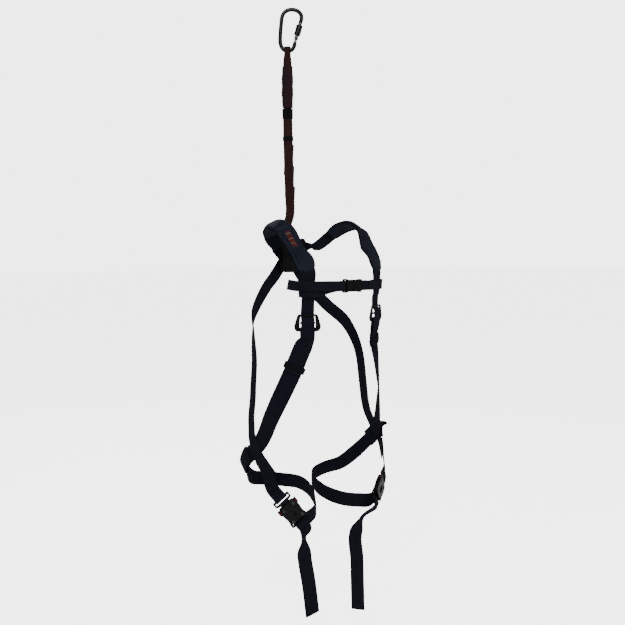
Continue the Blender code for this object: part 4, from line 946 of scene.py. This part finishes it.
def knitted(name, dark, light):
    """The pads' close-woven cover cloth, faintly creased."""
    shade = Shade(name)
    cells = shade.add("TexVoronoi", {"Scale": 700, "Vector": shade.objects()}).outputs[0]
    patchy, creases = shade.noise(18.0, 5.0), shade.noise(60.0, 4.0, 0.5)
    normal = shade.bump(creases, 1.2 * MM, 0.35, shade.bump(cells, 0.25 * MM, 0.6))
    return shade.set(Base_Color=shade.ramp(patchy, (0.3, dark), (0.75, light)), Roughness=0.78,
                     Normal=normal, Sheen_Weight=0.04, Sheen_Roughness=0.5,
                     Sheen_Tint=scaled(light, 5, 0.1), Specular_IOR_Level=0.10)


def worn_metal(name, colour, rough, metallic, bare, amount=0.5, coat=0.0):
    """Metal with faint scratches, rubbed down to the bare colour in patches."""
    shade = Shade(name)
    scratches, patchy = shade.noise(420.0, 6.0, 0.7), shade.noise(35.0, 4.0)
    rubbed = shade.ramp(scratches, (0.60, (0, 0, 0)), (0.74, (1, 1, 1)))
    worn = shade.math("MULTIPLY", rubbed, shade.math("MULTIPLY", patchy, amount))
    tone = shade.mix(patchy, scaled(colour, 0.8), scaled(colour, 1.2))
    return shade.set(Base_Color=shade.mix(worn, tone, bare), Metallic=metallic, Coat_Weight=coat,
                     Roughness=shade.math("MULTIPLY_ADD", scratches, 0.25, rough - 0.12),
                     Normal=shade.bump(scratches, 0.05 * MM, 0.3), Coat_Roughness=0.15,
                     Specular_IOR_Level=0.12)


def moulded(name, colour, rough=0.42):
    """Moulded plastic with a fine grain."""
    shade = Shade(name)
    grain, patchy = shade.noise(1500.0, 2.0), shade.noise(40.0, 3.0)
    return shade.set(Base_Color=shade.mix(patchy, scaled(colour, 0.75), scaled(colour, 1.3)),
                     Roughness=shade.math("MULTIPLY_ADD", patchy, 0.15, rough - 0.07),
                     Normal=shade.bump(grain, 0.06 * MM, 0.5), Specular_IOR_Level=0.09)


INK = (0.0022, 0.0024, 0.0045)
WEBBING = woven("black_webbing", INK, (0.0085, 0.0095, 0.018))
NARROW = woven("black_narrow_webbing", INK, (0.009, 0.010, 0.018), rib=1.2, band=5.0)
TETHER = woven("brown_webbing", (0.010, 0.0042, 0.0042), (0.034, 0.0135, 0.013), rib=1.3, band=5.0, edge=0.3)
COVER = woven("brown_cover_cloth", (0.012, 0.0055, 0.0065), (0.032, 0.016, 0.018), rib=0.9, band=RIBBED)
PADDING = knitted("navy_pad_cloth", (0.0035, 0.0045, 0.009), (0.010, 0.0125, 0.022))
BINDING = woven("black_binding", (0.0012, 0.0013, 0.0022), (0.004, 0.0045, 0.008), rib=1.0, band=RIBBED)
THREAD_DARK = woven("dark_thread", (0.010, 0.011, 0.016), (0.026, 0.028, 0.038), rib=0.5, band=RIBBED,
                    depth=0.1)
THREAD_BROWN = woven("brown_thread", (0.03, 0.012, 0.011), (0.09, 0.035, 0.03), rib=0.5, band=RIBBED,
                     depth=0.1)
ELASTIC = woven("black_elastic", (0.0015, 0.0016, 0.0022), (0.007, 0.0075, 0.010), rib=2.2, band=RIBBED,
                depth=0.35, sheen=0.02)
BLACK = (0.0015, 0.0015, 0.002)
BLACK_METAL = worn_metal("black_enamel", BLACK, 0.30, 0.0, (0.03, 0.03, 0.033), 0.25, 0.1)
GREY_METAL = worn_metal("grey_steel", (0.05, 0.052, 0.055), 0.36, 1.0, (0.25, 0.25, 0.25))
BRIGHT_METAL = worn_metal("bright_steel", (0.30, 0.30, 0.31), 0.30, 1.0, (0.5, 0.5, 0.5))
PLASTIC = moulded("black_plastic", BLACK)
RED_PLASTIC = moulded("red_plastic", (0.16, 0.012, 0.010), 0.4)
PATCH = woven("rust_patch", (0.035, 0.007, 0.006), (0.10, 0.018, 0.015), rib=0.9, band=3.0, depth=0.15,
              sheen=0.1, stripe=(0.085, 0.08, 0.08))


# ---------------------------------------------------------------- straps

HARNESS_STRAPS = (                  # the straps that ride on the harness: kind, finish, and rows of thread
    ("torso_strap", WEBBING, (("_eye", (-17, -4, 0), (-20, None, 0)), ("_hip", (8, 30, 1)))),
    ("back_strap", WEBBING, (("", (4, 20, 1), (-26, -6, 1)),)),
    ("chest_strap", NARROW, (("", (-18, -3, 0), (-22, None, 0)),)),
    ("leg_loop", WEBBING, (("", (3, 9, 0), (-30, -8, 1)),)),
)
CHEST_FOLD = (3, 16, 0)             # the box at the right half's fold round the buckle's bar
HEM_LONG, HEM_THICK = 20 * MM, 1.5 * MM


def strap_piece(run, body, finish=WEBBING, slot="webbing", life=0.25):
    """A strap's woven piece, standing for its CAD node; life is the height of the waves in its face."""
    layers = slab(run, 0, run.length, 0, run.thick, life=life * MM, stops=run.along[1:-1])
    dressed(made_mesh(f"{run.name}_web", *layers), finish, slot, body, run.name)


def sew(run, body, rows, label="", thread=THREAD_DARK, slot="webbing", seams=None):
    """Sew boxes, and bar tacks where a row has no end, as one piece of thread.

    A row is a start, an end and 1 for the outer face or 0 for the inner one. The places are
    millimetres from the strap's start or, below nought, from its end.
    """
    seams = seams or Seams(run)
    for start, end, outer in rows:
        a, b = (place * MM + (run.length if place < 0 else 0) for place in (start, end or start))
        if end is None:
            seams.tack(a, outer * run.thick)
        else:
            seams.box(a, b, outer * run.thick)
    made = made_mesh(f"{run.name}{label}_stitching", *joined(seams.parts), smooth_angle=80)
    dressed(made, thread, slot, body)


def hem(run, body):
    """The end folded back on itself and sewn."""
    end, high = run.length - 0.4 * MM, run.thick + HEM_THICK
    made = made_mesh(f"{run.name}_hem", *slab(run, end - HEM_LONG, end, run.thick, high, 0.49))
    dressed(made, WEBBING, "webbing", body)
    seams = Seams(run)
    seams.box(end - HEM_LONG + 3 * MM, end - 3 * MM, high, 0.4)
    sew(run, body, (), "_hem", seams=seams)


def make_straps():
    for side, name in SIDES.items():
        run = Run(f"shoulder_strap_{name}")
        strap_piece(run, HARNESS)
        hem(run, HARNESS)
        sew(run, HARNESS, ((8, None, 1), (30, None, 1)))
        for kind, finish, sewing in HARNESS_STRAPS:
            run = Run(f"{kind}_{name}")
            strap_piece(run, HARNESS, finish)
            for label, *rows in sewing:
                if kind == "chest_strap" and side == RIGHT:
                    rows.append(CHEST_FOLD)
                sew(run, HARNESS, rows, label)
        make_tail_piece(name)
        make_hip_piece(name)
        make_leg_strap_piece(name)
        make_keeper_piece(name)
    run = Run("dorsal_loop")
    strap_piece(run, HARNESS, life=0)
    sew(run, HARNESS, ((-20, -4, 0), (-23, None, 0)))


def make_tail_piece(name):
    """A leg's free tail, its end sewn with two rows across."""
    body = f"leg_tail_{name}"
    run = Run(body)
    strap_piece(run, body, life=0.5)
    seams = Seams(run)
    for back in (9 * MM, 12 * MM):
        seams.line(run.length - back, -0.42, run.length - back, 0.42, run.thick)
    sew(run, body, ((5, None, 1),), seams=seams)


def make_hip_piece(name):
    """A hip loop, boxed at its root and sewn along both edges of its folded end."""
    body = f"side_loop_{name}"
    run = Run(body)
    strap_piece(run, body, life=0.15)
    seams = Seams(run)
    seams.box(run.length - 20 * MM, run.length - 3 * MM, 0)
    seams.edges(run.length * 0.6, run.length - 22 * MM, 0)
    sew(run, body, (), seams=seams)


def make_leg_strap_piece(name):
    """The leg strap, from its eye on the tongue to the hip; baked in place, it rides on no CAD body."""
    run = Run(f"leg_strap_{name}")
    middle = run.inner[:, run.inner.shape[1] // 2]
    start, end = (middle[np.searchsorted(run.along, s)] for s in (6 * MM, run.length - 56 * MM))
    way = (HARNESS, f"tongue_{name}", tuple(start), tuple(end))
    strap_piece(run, way, life=0.2)
    sew(run, way, ((3, 16, 1), (-19, -4, 0), (-22, None, 0)))


RIB_PITCH = 2.4 * MM


def tube(run, wall, ribs=0.0, pitch=2 * MM, across=13, roll=0.45):
    """Points, faces and uvs of an open flattened tube along a run, ribbed round its girth."""
    count = int(run.length / pitch) + 1
    s = np.linspace(0, run.length, count)
    share = np.sin(np.linspace(-0.5, 0.5, across) * math.pi)
    layers = []
    for inset in (0, wall):
        u = share / 2 * (1 - 2 * inset / run.width)
        fullness = 1 - roll * np.abs(share) ** 6
        half = (run.thick / 2 - inset) * fullness
        swell = ribs * np.sin(2 * math.pi * s / RIB_PITCH) if not inset else np.zeros(count)
        low, _ = run.lay(s[:, None], u[None, :], run.thick / 2 - half[None, :] - swell[:, None])
        high, _ = run.lay(s[:, None], u[None, :], run.thick / 2 + half[None, :] + swell[:, None])
        layers.append(np.concatenate([low, high[:, ::-1]], axis=1))
    girth = 2 * across
    faces = ring_quads(count, girth)[:(count - 1) * girth]
    start = count * girth
    faces += [tuple(i + start for i in f[::-1]) for f in faces]
    for row, turned_round in ((0, True), (count - 1, False)):
        for k in range(girth):
            n = (k + 1) % girth
            quad = (row * girth + k, row * girth + n, start + row * girth + n, start + row * girth + k)
            faces.append(quad[::-1] if turned_round else quad)
    points = np.concatenate([layer.reshape(-1, 3) for layer in layers])
    round_uv = np.concatenate([share, share[::-1]]) * run.width / 2
    uvs = np.stack(np.broadcast_arrays(round_uv[None, :], s[:, None]), axis=-1).reshape(-1, 2)
    return points, faces, np.concatenate([uvs, uvs])


def elastic_piece(name, body, wall, ribs, *nodes):
    """A ribbed elastic band along a run."""
    made = made_mesh(f"{name}_elastic", *tube(Run(name, 2 * MM), wall, ribs=ribs))
    dressed(made, ELASTIC, "elastic", body, *nodes)


def make_keeper_piece(name):
    node = f"strap_keeper_{name}"
    elastic_piece(node, HARNESS, 1 * MM, 0.25 * MM, node)


# ---------------------------------------------------------------- tether

TETHER_BODY = "tether"
LEAVES = ((0.872, 0.792), (0.816, 0.734), (0.762, 0.684))   # each leaf's top and foot
LEAF_ASIDE = (3.6, -2.6)            # millimetres to the wearer's left of the tether, at its top and foot
MIDDLE_LEAF = 2.1                   # millimetres that the middle leaf stands clear of its neighbours
NECK = (0.990, 0.934)               # a strip that joins the absorber to the webbing, inside both
THIN_BAND = (0.894, 0.882)
GATHER_REACH = 0.16                 # how far the cover's gathers run in, as a share of its length


def make_tether_pieces():
    run = Run("tether_webbing")
    strap_piece(run, TETHER_BODY, TETHER, "tether")
    sew(run, TETHER_BODY, ((-20, -3, 0),), thread=THREAD_BROWN, slot="tether")
    strap_piece(Run("tether_eye"), TETHER_BODY, TETHER, "tether", life=0.15)
    make_leaves()
    make_cover_piece()
    elastic_piece("absorber_band", TETHER_BODY, 1 * MM, 0.3 * MM, "absorber_band")


def aside(guides, start, end):
    """The guides shifted across the tether, from so many millimetres at the first to so many at the last."""
    across = np.array((TETHER_BACK_TOP.y, -TETHER_BACK_TOP.x, 0))
    for guide, shift in zip(guides, np.linspace(start, end, len(guides))):
        guide.point = guide.point + across * shift * MM
    return guides


def make_leaves():
    """The lengths of webbing laid one over the next down the tether's near face, and its small bands."""
    under = -(2 * PLY + GAP) / MM
    for k, (top, foot) in enumerate(LEAVES):
        node = f"tether_leaf_{k + 1}"
        guides = tether_guides(np.linspace(top, foot, 4), under - (MIDDLE_LEAF if k == 1 else 0))
        keep_run(node, aside(guides, *LEAF_ASIDE), TETHER_WEB * 0.94)
        run = Run(node)
        made = made_mesh(f"{node}_web", *slab(run, 0, run.length, 0, run.thick, life=0.3 * MM, phase=k))
        dressed(made, TETHER, "tether", TETHER_BODY)
        seams = Seams(run)
        seams.tack(5 * MM, 0)
        seams.tack(run.length - 5 * MM, 0)
        seams.edges(8 * MM, run.length - 8 * MM, 0, 0.4)
        sew(run, TETHER_BODY, (), thread=THREAD_BROWN, slot="tether", seams=seams)
    keep_run("tether_neck", tether_guides(NECK, -2.6), TETHER_WEB * 0.8, 2 * MM)
    run = Run("tether_neck")
    made = made_mesh("tether_neck_web", *slab(run, 0, run.length, 0, run.thick))
    dressed(made, TETHER, "tether", TETHER_BODY)
    keep_run("tether_band", tether_guides(THIN_BAND, -3.2), TETHER_WEB + 3 * MM, 4.6 * MM)
    elastic_piece("tether_band", TETHER_BODY, 0.8 * MM, 0.2 * MM)


def make_cover_piece():
    """The absorber's cloth sleeve, gathered where elastic grips it."""
    run = Run("absorber_cover", 2 * MM)
    points, faces, uvs = tube(run, 1 * MM, pitch=1.2 * MM, across=25, roll=0.55)
    middle = run.inner[:, run.inner.shape[1] // 2]
    near = np.argmin(((points[:, None] - middle[None]) ** 2).sum(-1), axis=1)
    s = run.along[near]
    core = middle[near] + run.outward[near, run.outward.shape[1] // 2] * run.thick / 2
    out = points - core
    sideways = np.array((TETHER_BACK_TOP.y, -TETHER_BACK_TOP.x, 0))
    turn = np.arctan2(out @ np.array(TETHER_BACK_TOP), out @ sideways)
    from_ends = (s / run.length, (run.length - s) / run.length)
    gather = sum(np.exp(-(share / GATHER_REACH) ** 2) for share in from_ends)
    crease = 0.045 * np.sin(turn * 9 + s * 40) * gather
    slouch = 0.03 * np.sin(s * 190 + 1.7 * np.sin(turn * 2)) * (1 - 0.6 * gather)
    scale = 1 - 0.14 * gather + crease + slouch
    made = made_mesh("absorber_cover_cloth", core + out * scale[:, None], faces, uvs)
    dressed(made, COVER, "tether", TETHER_BODY, "absorber_cover", "absorber_core")


# ---------------------------------------------------------------- pads

PAD_BODY = 11.5 * MM                # a pad's thickness before it is stuffed
PAD_CORNER = 15 * MM
PIPING = 1.7 * MM
VOXEL = 4.5 * MM
SIM_FRAMES = 20
STUFFING = 4                        # the pressure inside a pad while it is filled
SHRINK = -0.04                      # below nought, the cloth gives a little
PUFF_CAP = 7 * MM                   # how far a point of a pad may move
ROOT_HELD = 5 * MM                  # points this near the rim stay where they are
PAD_FOOT = 1.2 * MM                 # a pad's underside above its run
THIN = 0.34                         # a cushion's thickness at its rim, as a share of the whole
OVERHEAD = 30 * MM                  # where thread and labels start before they drop onto a pad


def pad_outline(run, s0, s1, count=120):
    """A rounded rectangle round the pad, as places along and across it."""
    half, corner = run.width / 2, PAD_CORNER
    path = []
    for cx, cy, start in ((s1 - corner, half - corner, 0), (s0 + corner, half - corner, 1),
                          (s0 + corner, corner - half, 2), (s1 - corner, corner - half, 3)):
        for k in range(9):
            turn = math.pi / 2 * (start + k / 8)
            path.append((cx + corner * math.cos(turn), cy + corner * math.sin(turn)))
    path = np.array(path + path[:1])
    steps = np.concatenate([[0], np.cumsum(np.linalg.norm(np.diff(path, axis=0), axis=1))])
    even = np.linspace(0, steps[-1], count + 1)[:-1]
    return np.interp(even, steps, path[:, 0]), np.interp(even, steps, path[:, 1]) / run.width


def pillow(run, s0, s1, low, high, rows=44, across=15):
    """A closed cushion with thin edges and rounded corners."""
    ease = np.sin(np.linspace(-0.5, 0.5, rows) * math.pi)
    s = (s0 + s1) / 2 + ease * (s1 - s0) / 2
    from_end = np.minimum(s - s0, s1 - s)
    corner = np.clip(1 - from_end / PAD_CORNER, 0, 1)
    half = 0.5 - PAD_CORNER / run.width * (1 - np.sqrt(1 - corner ** 2))
    share = np.sin(np.linspace(-0.5, 0.5, across) * math.pi)
    u = half[:, None] * share[None, :]
    sideways, endways = (THIN + (1 - THIN) * np.sqrt(np.clip(fill, 0, 1))
                         for fill in (1 - share ** 6, from_end / (12 * MM)))
    thick = sideways[None, :] * endways[:, None]
    middle = (low + high) / 2
    under, _ = run.lay(s[:, None], u, middle - (high - low) / 2 * thick)
    over, _ = run.lay(s[:, None], u, middle + (high - low) / 2 * thick)
    points = np.concatenate([under, over[:, ::-1]], axis=1).reshape(-1, 3)
    return points, ring_quads(rows, 2 * across), np.zeros((len(points), 2))


def applied(made):
    """Freeze an object's modifiers into its mesh."""
    graph = bpy.context.evaluated_depsgraph_get()
    mesh = bpy.data.meshes.new_from_object(made.evaluated_get(graph), depsgraph=graph)
    made.modifiers.clear()
    old, made.data = made.data, mesh
    bpy.data.meshes.remove(old)


def coordinates(made):
    """An object's points as an array."""
    flat = np.empty(len(made.data.vertices) * 3)
    made.data.vertices.foreach_get("co", flat)
    return flat.reshape(-1, 3)


def stuffed(made, held):
    """Fill a cushion by cloth simulation; held says which points stay where they are."""
    grain = made.modifiers.new("even", "REMESH")
    grain.mode, grain.voxel_size = "VOXEL", VOXEL
    applied(made)
    rest = coordinates(made)
    group = made.vertex_groups.new(name="sewn")
    for index in np.nonzero(held(rest))[0]:
        group.add([int(index)], 1.0, "REPLACE")
    cloth = made.modifiers.new("stuffing", "CLOTH")
    cloth.settings.quality = 6
    cloth.settings.mass = 0.2
    cloth.settings.use_pressure = True
    cloth.settings.uniform_pressure_force = STUFFING
    cloth.settings.effector_weights.gravity = 0
    cloth.settings.vertex_group_mass = "sewn"
    cloth.settings.shrink_min = SHRINK
    cloth.point_cache.frame_start, cloth.point_cache.frame_end = 1, SIM_FRAMES
    for tick in range(1, SIM_FRAMES + 1):
        bpy.context.scene.frame_set(tick)
    applied(made)
    bpy.context.scene.frame_set(1)
    moved = coordinates(made) - rest
    far = np.linalg.norm(moved, axis=1)[:, None] + 1e-12
    kept = rest + moved * np.minimum(1, PUFF_CAP / far)
    made.data.vertices.foreach_set("co", kept.ravel())
    finer = made.modifiers.new("finer", "SUBSURF")
    finer.levels = finer.render_levels = 1
    applied(made)
    made.data.shade_smooth()


def cord(name, spots, outs, radius, flat=1.0, closed=True, steps=8):
    """A round cord through the spots; flat squeezes it along the outward directions."""
    count = len(spots)
    way = np.roll(spots, -1, axis=0) - np.roll(spots, 1, axis=0)
    if not closed:
        way[0], way[-1] = spots[1] - spots[0], spots[-1] - spots[-2]
    side = np.cross(way, outs)
    side /= np.linalg.norm(side, axis=1)[:, None]
    turns = 2 * math.pi * np.arange(steps) / steps
    ring = side[:, None] * np.cos(turns)[:, None] + outs[:, None] * (np.sin(turns) * flat)[:, None]
    points = (spots[:, None] + ring * radius).reshape(-1, 3)
    faces = []
    for a in range(count if closed else count - 1):
        b = (a + 1) % count
        for k in range(steps):
            n = (k + 1) % steps
            faces.append((a * steps + k, b * steps + k, b * steps + n, a * steps + n))
    if not closed:
        faces += [tuple(range(steps)), tuple(range((count - 1) * steps, count * steps))[::-1]]
    along = np.concatenate([[0], np.cumsum(np.linalg.norm(np.diff(spots, axis=0), axis=1))])
    uvs = np.stack(np.broadcast_arrays((turns * radius)[None, :], along[:, None]), axis=-1).reshape(-1, 2)
    return made_mesh(name, points, faces, uvs, 80)


def seated(tree, spots, outs, sink=0.15 * MM):
    """The spots dropped onto a surface against the outward directions."""
    landed = []
    for spot, out in zip(spots, outs):
        hit = tree.ray_cast(Vector(spot), -Vector(out), 0.04)[0]
        landed.append(np.array(hit) - out * sink if hit is not None else spot - out * 0.02)
    return np.array(landed)


def make_pad(side):
    """A stuffed cushion with piping round its rim and a seam inside it."""
    node = f"pad_cover_{SIDES[side]}"
    run = Run(node)
    s0, s1 = 0.5 * MM, run.length - 0.5 * MM
    made = made_mesh(f"{node}_cloth", *pillow(run, s0, s1, PAD_FOOT, PAD_FOOT + PAD_BODY))
    edge_s, edge_u = pad_outline(run, s0 + 0.8 * MM, s1 - 0.8 * MM)
    rim, rim_out = run.lay(edge_s, edge_u * 0.985, PAD_FOOT + PAD_BODY / 2)
    stuffed(made, lambda p: np.min(((p[:, None] - rim[None]) ** 2).sum(-1), axis=1) < ROOT_HELD ** 2)
    dressed(made, PADDING, "padding", HARNESS, node, f"pad_foam_{SIDES[side]}")
    piping = cord(f"{node}_piping", rim, rim_out, PIPING, 1.25)
    dressed(piping, BINDING, "padding", HARNESS)

    tree = BVHTree.FromObject(made, bpy.context.evaluated_depsgraph_get())
    inner_s, inner_u = pad_outline(run, s0 + 5.6 * MM, s1 - 5.6 * MM, 150)
    spots, outs = run.lay(inner_s, inner_u * 0.80, OVERHEAD)
    landed = seated(tree, spots, outs)
    closed = (np.concatenate([landed, landed[:1]]), np.concatenate([outs, outs[:1]]))
    seam = made_mesh(f"{node}_stitching", *stitches(*closed), smooth_angle=80)
    dressed(seam, THREAD_DARK, "padding", HARNESS)
    if side == RIGHT:
        make_patch(run, tree)


PATCH_FROM, PATCH_TO, PATCH_HALF = 0.50, 0.70, 0.13   # shares of the pad's length, and of its width


def make_patch(run, tree):
    """A plain woven label sewn on the pad: a rust-red bar crossed by two grey stripes."""
    rows, across = 26, 9
    s = np.linspace(PATCH_FROM, PATCH_TO, rows) * run.length
    u = np.linspace(-PATCH_HALF, PATCH_HALF, across)
    grid_s, grid_u = np.meshgrid(s, u, indexing="ij")
    spots, outs = run.lay(grid_s.ravel(), grid_u.ravel(), OVERHEAD)
    landed = seated(tree, spots, outs, 0).reshape(rows, across, 3)
    outs = outs.reshape(rows, across, 3)
    share = np.linspace(-1, 1, across)
    edge = (1 - np.abs(share) ** 12)[None, :] * (1 - np.abs(np.linspace(-1, 1, rows)) ** 24)[:, None]
    over = landed + outs * (0.9 * MM * edge + 0.15 * MM)[..., None]
    under = landed - outs * 0.6 * MM
    points = np.concatenate([under, over[:, ::-1]], axis=1).reshape(-1, 3)
    uv_u = np.concatenate([u, u[::-1]]) * run.width
    uvs = np.stack(np.broadcast_arrays(uv_u[None, :], s[:, None]), axis=-1).reshape(-1, 2)
    made = made_mesh("pad_patch_right", points, ring_quads(rows, 2 * across), uvs)
    dressed(made, PATCH, "padding", HARNESS)


# ---------------------------------------------------------------- metal and plastic

BEVEL_ANGLE = math.radians(38)      # edges turning more sharply than this are rounded
FINISHES = {                        # by the start of a node's name: its finish, and its edges' rounding in mm
    "carabiner_body": (BLACK_METAL, 0.0), "lock_sleeve": (BLACK_METAL, 0.3),
    "carabiner_gate": (GREY_METAL, 0.4), "gate_pin": (GREY_METAL, 0.2),
    "gate_spring": (BRIGHT_METAL, 0.0), "dorsal_plate": (PLASTIC, 0.4),
    "dorsal_ring": (BLACK_METAL, 0.0), "chest_buckle": (PLASTIC, 0.5),
    "adjuster_frame": (BLACK_METAL, 0.5), "adjuster_bar": (BRIGHT_METAL, 0.4),
    "buckle_back": (BLACK_METAL, 0.4), "buckle_front": (BLACK_METAL, 0.5),
    "buckle_rivet": (GREY_METAL, 0.4), "buckle_tongue": (BLACK_METAL, 0.4),
    "release_lever": (PLASTIC, 0.4),
}


def dress_rigid_nodes():
    """Round the CAD solids' edges a little and give them worn finishes."""
    for node, made in frame["nodes"].items():
        found = [value for key, value in FINISHES.items() if node.startswith(key)]
        if not found or made.hide_render:
            continue
        finish, round_edge = found[0]
        mesh = made.data
        mesh.materials.clear()
        mesh.materials.append(finish)
        if "custom_normal" in mesh.attributes:
            mesh.attributes.remove(mesh.attributes["custom_normal"])
        mesh.shade_smooth()
        weld = made.modifiers.new("weld", "WELD")
        weld.merge_threshold = 0.01 * MM
        if round_edge:
            edge = made.modifiers.new("edges", "BEVEL")
            edge.width, edge.segments = round_edge * MM, 2
            edge.limit_method, edge.angle_limit = "ANGLE", BEVEL_ANGLE
        made.modifiers.new("even_shade", "WEIGHTED_NORMAL")


def on_buckle(side, x, y, z):
    """A point in a leg buckle's own axes, in the part's frame."""
    middle, along, out = leg_buckle_axes(side)
    return axes_matrix(middle, along, out) @ Vector((x, y, z))


def make_buckle_details():
    """A raised bead on each front plate and a red mark on each lever's tab."""
    for side, name in SIDES.items():
        out = np.array(leg_buckle_axes(side)[2])
        spots = []
        for cx, cy, start in ((7, 3, 0), (-7, 3, 1), (-7, -3, 2), (7, -3, 3)):
            for k in range(5):
                turn = math.pi / 2 * (start + k / 4)
                x, y = cx + 3.2 * math.cos(turn), cy + 3.2 * math.sin(turn)
                spots.append(on_buckle(side, x * MM, y * MM, PLATE_TOP + 0.1 * MM))
        rim = cord(f"buckle_rim_{name}", np.array(spots), np.tile(out, (len(spots), 1)), 0.8 * MM)
        dressed(rim, BLACK_METAL, "black_metal", HARNESS)
        for label, half in (("upper", 1), ("lower", -1)):
            high = BUCKLE_MIDDLE + 3.5 * MM
            ends = [on_buckle(side, x * MM, half * 26 * MM, high) for x in (-23, -20, -17)]
            mark = cord(f"lever_mark_{name}_{label}", np.array(ends), np.tile(out, (3, 1)), 1.5 * MM, 0.35,
                        closed=False, steps=10)
            dressed(mark, RED_PLASTIC, "black_plastic", f"lever_{name}_{label}")


# ---------------------------------------------------------------- floor, light and camera

CAMERA_PLACE = Vector((-1.319, -2.002, 0.019))
CAMERA_WAY = Vector((0.574, 0.819, -0.0692))
LENS, LENS_SHIFT = 51.96, -0.0056
FLOOR = -1.02
BACKDROP = 4.2                      # brightness of the backdrop as the camera sees it
SOFT_LIGHT = 0.2                    # and as the object is lit by it
FLOOR_SHARE = 0.88                  # the floor's brightness, as a share of the backdrop's
FLOOR_REACH = 40
AIM = Vector((0, 0, -0.1))          # the point the lamps look at
LAMPS = (                           # name, place, size in metres and power in watts
    ("key", (-2.2, -2.6, 2.2), 1.2, 150), ("fill", (2.6, -2.0, 0.8), 1.6, 45),
    ("back", (0.6, 2.8, 2.0), 1.6, 70),
)


def make_stage():
    """A pale floor and backdrop, bright to the camera only, and three soft lamps."""
    mesh = bpy.data.meshes.new("floor")
    corners = [(x * FLOOR_REACH, y * FLOOR_REACH, FLOOR) for x, y in ((-1, -1), (1, -1), (1, 1), (-1, 1))]
    mesh.from_pydata(corners, [], [(0, 1, 2, 3)])
    pale = Shade("pale_floor")
    seen = pale.add("LightPath", {}).outputs["Is Camera Ray"]
    glow = pale.math("MULTIPLY", seen, BACKDROP * FLOOR_SHARE)
    mesh.materials.append(pale.set(Base_Color=(0.86, 0.86, 0.85), Roughness=1.0,
                                   Emission_Color=(1, 1, 1), Emission_Strength=glow))
    linked("floor", mesh)

    world = bpy.data.worlds.new("studio")
    world.use_nodes = True
    nodes, links = world.node_tree.nodes, world.node_tree.links
    strength = nodes.new("ShaderNodeMath")
    strength.operation = "MULTIPLY_ADD"
    strength.inputs[1].default_value = BACKDROP - SOFT_LIGHT
    strength.inputs[2].default_value = SOFT_LIGHT
    links.new(nodes.new("ShaderNodeLightPath").outputs["Is Camera Ray"], strength.inputs[0])
    links.new(strength.outputs[0], nodes["Background"].inputs["Strength"])
    nodes["Background"].inputs["Color"].default_value = (1, 1, 1, 1)
    bpy.context.scene.world = world
    for name, place, size, power in LAMPS:
        light = bpy.data.lights.new(name, "AREA")
        light.size, light.energy = size, power
        lamp = linked(name, light)
        lamp.location = place
        lamp.rotation_euler = (AIM - Vector(place)).to_track_quat("-Z", "Y").to_euler()


def make_camera():
    camera = linked("camera", bpy.data.cameras.new("camera"))
    camera.location = CAMERA_PLACE
    camera.rotation_euler = CAMERA_WAY.to_track_quat("-Z", "Y").to_euler()
    camera.data.lens = LENS
    camera.data.shift_x = LENS_SHIFT
    bpy.context.scene.camera = camera


lay_out()
make_straps()
make_tether_pieces()
for side in SIDES:
    make_pad(side)
make_buckle_details()
dress_rigid_nodes()
make_stage()
make_camera()
